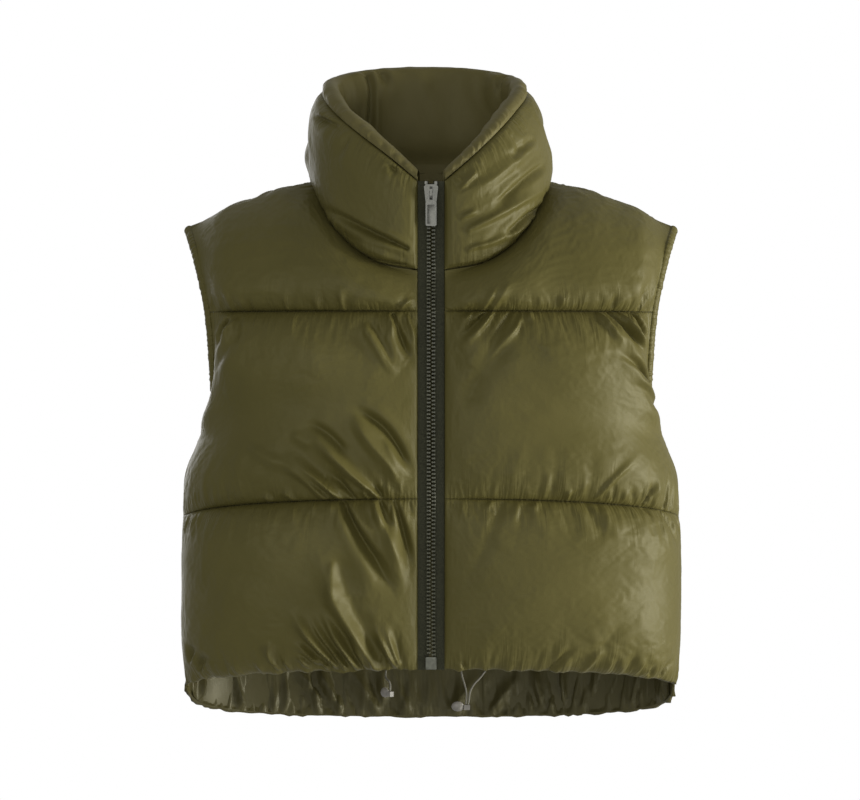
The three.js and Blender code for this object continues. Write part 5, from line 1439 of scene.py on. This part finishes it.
# Its gathers are deepest from this far to each side of the middle, over this much more
CORNER_START = 60
CORNER_REACH = 90
LINING_FOLD_SHARE = 2.2
NECK_FULL_HEIGHT = 22
NECK_FULL_WIDTH = 70
LINING_PLEATS = 0.4
NECK_FULLNESS = 3.2
LINING_REACH = 90.0
LINING_FOLDS = (
    ([(-110, -500), (-138, -462)], 3.2, 5, True),
    ([(-90, -508), (-126, -450)], 3.4, 6, True),
    ([(-54, -512), (-84, -462)], 2.6, 6, True),
    ([(-20, -514), (-34, -480)], 1.6, 8, True),
    ([(20, -514), (50, -470)], 2.2, 8, True),
    ([(60, -512), (96, -466)], 2.4, 7, True),
    ([(110, -505), (100, -460)], 3.0, 5, True),
    ([(132, -500), (128, -458)], 3.0, 5, True),
    ([(160, -494), (172, -456)], 3.0, 5, True),
)


def back_lining():
    """The lining inside the back, from the hem up to the neck, with the marks for its pleats."""
    s = np.linspace(*LINING_SIDES, LINING_COLUMNS + 1)
    stack = []
    for kind in ("lower", "chest", "yoke"):
        t = np.linspace(LINING_HEM if kind == "lower" else 0, 1, LINING_ROWS + 1)
        if kind != "lower":
            t = t[1:]
        base = SURFACES["back_" + kind](s, t)
        t_grid = t[:, None]
        arch = 6.75 * t_grid * (1 - t_grid) ** 2 * np.sqrt(np.sin(np.pi * s))[None]
        stack.append(base + outward(base) * (PUFFS[kind][2] * arch)[..., None])
    base = np.concatenate(stack)
    out = outward(base)
    height = arc_lengths(base, 0)
    along = arc_lengths(base, 1)
    width = along[0, -1]
    x = base[..., 0]
    lift = 1.0 + 0.8 * lumps(x, base[..., 2], SEED + 90, 80)
    corner = smoothstep((np.abs(x) - CORNER_START) / CORNER_REACH)
    lift = lift + puckers(along, height, width, SEED + 91, 9, 7.5, 62) * (0.45 + 0.55 * corner)
    lift = lift + puckers(along, height, width, SEED + 92, 5, 2.6, 26) * (0.6 + 0.4 * corner)
    for fold in LINING_FOLDS:
        lift = lift + LINING_FOLD_SHARE * fold_field(x, base[..., 2], fold, True)
    lift = 1 + (lift - 1) * smoothstep(height / 5)
    below_neck = height.max(axis=0, keepdims=True) - height
    lift = lift + NECK_FULLNESS * np.exp(-(below_neck / NECK_FULL_HEIGHT) ** 2 - (x / NECK_FULL_WIDTH) ** 2)
    face = base - out * (WALL / 2 + LINING_GAP + np.maximum(lift, LINING_LEAST))[..., None]
    return face, (along * LINING_PLEATS, height * LINING_PLEATS, np.exp(-(height / LINING_REACH) ** 2))


lining_grid, lining_marks = back_lining()
lining_rows, lining_columns = lining_grid.shape[:2]
piece = mesh_object("hung_back_lining", lining_grid, grid_faces(lining_rows, lining_columns, 0, True), LINING)
mark_seams(piece, *lining_marks, 5)
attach(piece, "garment")
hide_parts("back_lining")


# Zip teeth

TEETH_PITCH = 3.5
ZIP_BOX_HEIGHT = 12
SLIDER_DROP = 11
SLIDER_LENGTH = 16
ZIP_STEP = 0.002
zip_spine = SEAMS["zip"]
zip_line = zip_spine(np.linspace(0, 1, 2000))
zip_length = float(np.sum(np.linalg.norm(np.diff(zip_line, axis=0), axis=1)))


def zip_place(share):
    spine = zip_spine(np.array([share]))[0]
    spine[0] = 0
    behind, ahead = zip_spine(np.array([max(share - ZIP_STEP, 0), min(share + ZIP_STEP, 1)]))
    way = ahead - behind
    way[0] = 0
    way /= np.linalg.norm(way)
    return spine, way, np.array((0, -way[2], way[1]))


TOOTH = ((0.2, -0.72), (0.75, -1.02), (1.45, -1.02), (1.95, -0.62), (3.3, -0.95), (4.15, -1.2),
         (4.15, 1.2), (3.3, 0.95), (1.95, 0.62), (1.45, 1.02), (0.75, 1.02), (0.2, 0.72))
TOOTH_LAYERS = ((-0.75, 0.9), (0.6, 1.0), (2.5, 1.0), (3.15, 0.72))


def teeth(side):
    first = (ZIP_BOX_HEIGHT + 1) / zip_length
    last = 1 - (SLIDER_DROP + SLIDER_LENGTH / 2 + 0.5) / zip_length
    points, faces = [], []
    place = first * zip_length + 1.3 + (TEETH_PITCH / 2 if side < 0 else 0)
    while place < last * zip_length - 1.3:
        spine, way, front = zip_place(place / zip_length)
        start = len(points)
        centre = np.array((2.2, 0.0))
        for forward, scale in TOOTH_LAYERS:
            for x, up in TOOTH:
                x, up = centre + (np.array((x, up)) - centre) * scale
                points.append(spine + np.array((side * x, 0, 0)) + way * up + front * forward)
        count = len(TOOTH)
        for layer in range(len(TOOTH_LAYERS) - 1):
            for i in range(count):
                a, b = start + layer * count + i, start + layer * count + (i + 1) % count
                faces.append((a, b, b + count, a + count))
        top = start + (len(TOOTH_LAYERS) - 1) * count
        faces.append(tuple(range(top, top + count)))
        faces.append(tuple(range(start + count - 1, start - 1, -1)))
        place += TEETH_PITCH
    return points, faces


for side_name, side in (("left", 1), ("right", -1)):
    points, faces = teeth(side)
    piece = turned_out(mesh_object("moulded_teeth_" + side_name, points, faces, TEETH))
    piece.data.polygons.foreach_set("use_smooth", [False] * len(piece.data.polygons))
    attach(piece, "garment")
    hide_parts("zip_teeth_" + side_name)


# Zip hardware, from the CAD's shapes with their edges rounded

PULL_FLOOR = 0.45
PULL_TILT = 0.0566
PULL_PIVOT_Y = -103.871
PULL_PIVOT_Z = -16.404
PULL_EYE_END = -25
SLIDER_FLAT = 0.35


def softened(node, name, body, materials, width, bright=None):
    """A copy of a CAD piece with rounded edges. A test of a face can give it the second material, which paints
    a highlight there.
    """
    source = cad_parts[node]
    work = bmesh.new()
    work.from_mesh(source.data)
    work.transform(source.matrix_world)
    bmesh.ops.remove_doubles(work, verts=work.verts, dist=2e-6)
    bmesh.ops.dissolve_limit(work, angle_limit=math.radians(3), verts=work.verts, edges=work.edges)
    sharp = [edge for edge in work.edges
             if len(edge.link_faces) == 2 and edge.calc_face_angle(0) > math.radians(28)]
    bmesh.ops.bevel(work, geom=sharp, offset=width * MM, segments=2, profile=0.6, affect="EDGES",
                    clamp_overlap=True)
    bmesh.ops.recalc_face_normals(work, faces=work.faces)
    # Faces that pass the test get the second material, a painted highlight
    if bright is not None:
        for face in work.faces:
            face.material_index = 1 if bright(face.calc_center_median() / MM, face.normal) else 0
    mesh = bpy.data.meshes.new(name)
    work.to_mesh(mesh)
    work.free()
    for material in materials:
        mesh.materials.append(material)
    piece = new_object(name, mesh)
    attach(piece, body)
    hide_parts(node)
    return piece


def pull_rim_painted_glint(place, normal):
    """The pull's raised rim gets the lighter metal as a painted highlight, and its recessed middle the darker
    metal as painted shade.
    """
    ahead = ((PULL_PIVOT_Y - place.y) * math.cos(PULL_TILT)
             + (PULL_PIVOT_Z - place.z) * math.sin(PULL_TILT))
    return place.z < PULL_EYE_END and ahead > PULL_FLOOR


def slider_painted_glint(place, normal):
    """The slider's upper and lower faces get the lighter metal as a painted highlight."""
    return abs(normal.z) > SLIDER_FLAT


# The slider's ends and the pull's rim carry painted highlights, and the pull's recess painted shade
softened("zip_slider", "rounded_slider", "garment", (METAL, GLINT_METAL), 0.35, slider_painted_glint)
softened("zip_pull", "framed_pull", "pull_tab", (METAL, GLINT_METAL), 0.22, pull_rim_painted_glint)
softened("zip_box", "rounded_box", "garment", (BOX_METAL,), 0.5)
for side_name in ("left", "right"):
    softened("zip_top_stop_" + side_name, "rounded_top_stop_" + side_name, "garment", (METAL,), 0.35)

for node, material in {"zip_tape_left": TAPE, "zip_tape_right": TAPE, "cord_lock_left": LOCK,
                       "cord_lock_right": LOCK}.items():
    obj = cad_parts[node]
    obj.data.materials.clear()
    obj.data.materials.append(material)


# Stitching

# A stitch's rings, as shares of its half length and of its thickness
STITCH_RINGS = ((-1, 0.35), (-0.6, 1), (0.6, 1), (1, 0.35))
STITCH_SIDES = 6
STITCH_PITCH = 3.4
STITCH_RADIUS = 0.28
STITCH_SHARE = 0.38
STITCH_HEIGHT = 0.15


def stitches(name, line):
    """A row of short stitches that stand a little out of the cloth."""
    total = by_length(line)
    length = float(np.sum(np.linalg.norm(np.diff(line, axis=0), axis=1)))
    count = int(length / STITCH_PITCH)
    points, faces = [], []
    centres = total((np.arange(count) + 0.5) / count)
    ways = total((np.arange(count) + 0.9) / count) - total((np.arange(count) + 0.1) / count)
    ways /= np.linalg.norm(ways, axis=1, keepdims=True)
    normals = outward(centres)
    sides = np.cross(ways, normals)
    half = STITCH_SHARE * STITCH_PITCH
    for centre, way, normal, side in zip(centres, ways, normals, sides):
        start = len(points)
        middle = centre + normal * STITCH_HEIGHT
        for along, share in STITCH_RINGS:
            for turn in range(STITCH_SIDES):
                angle = 2 * math.pi * turn / STITCH_SIDES
                round_it = side * math.cos(angle) + normal * math.sin(angle)
                points.append(middle + way * half * along + share * STITCH_RADIUS * round_it)
        for layer in range(len(STITCH_RINGS) - 1):
            for turn in range(STITCH_SIDES):
                a = start + STITCH_SIDES * layer + turn
                b = start + STITCH_SIDES * layer + (turn + 1) % STITCH_SIDES
                faces.append((a, b, b + STITCH_SIDES, a + STITCH_SIDES))
        faces.append(tuple(range(start, start + STITCH_SIDES)))
        faces.append(tuple(range(len(points) - 1, len(points) - 1 - STITCH_SIDES, -1)))
    piece = turned_out(mesh_object(name, points, faces, THREAD))
    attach(piece, "garment")


shares = np.linspace(0.004, 0.996, 300)
for side_name, side in (("left", 1), ("right", -1)):
    for seam in ("low_front", "high_front"):
        line = SEAMS[seam](shares)
        line = line + outward(line) * (WALL / 2)
        stitches(f"stitches_{seam}_{side_name}", mirrored(line, side))
for seam in ("low_back", "high_back"):
    line = across(SEAMS[seam])(np.linspace(0.002, 0.998, 500))
    stitches(f"stitches_{seam}", line + outward(line) * (WALL / 2))
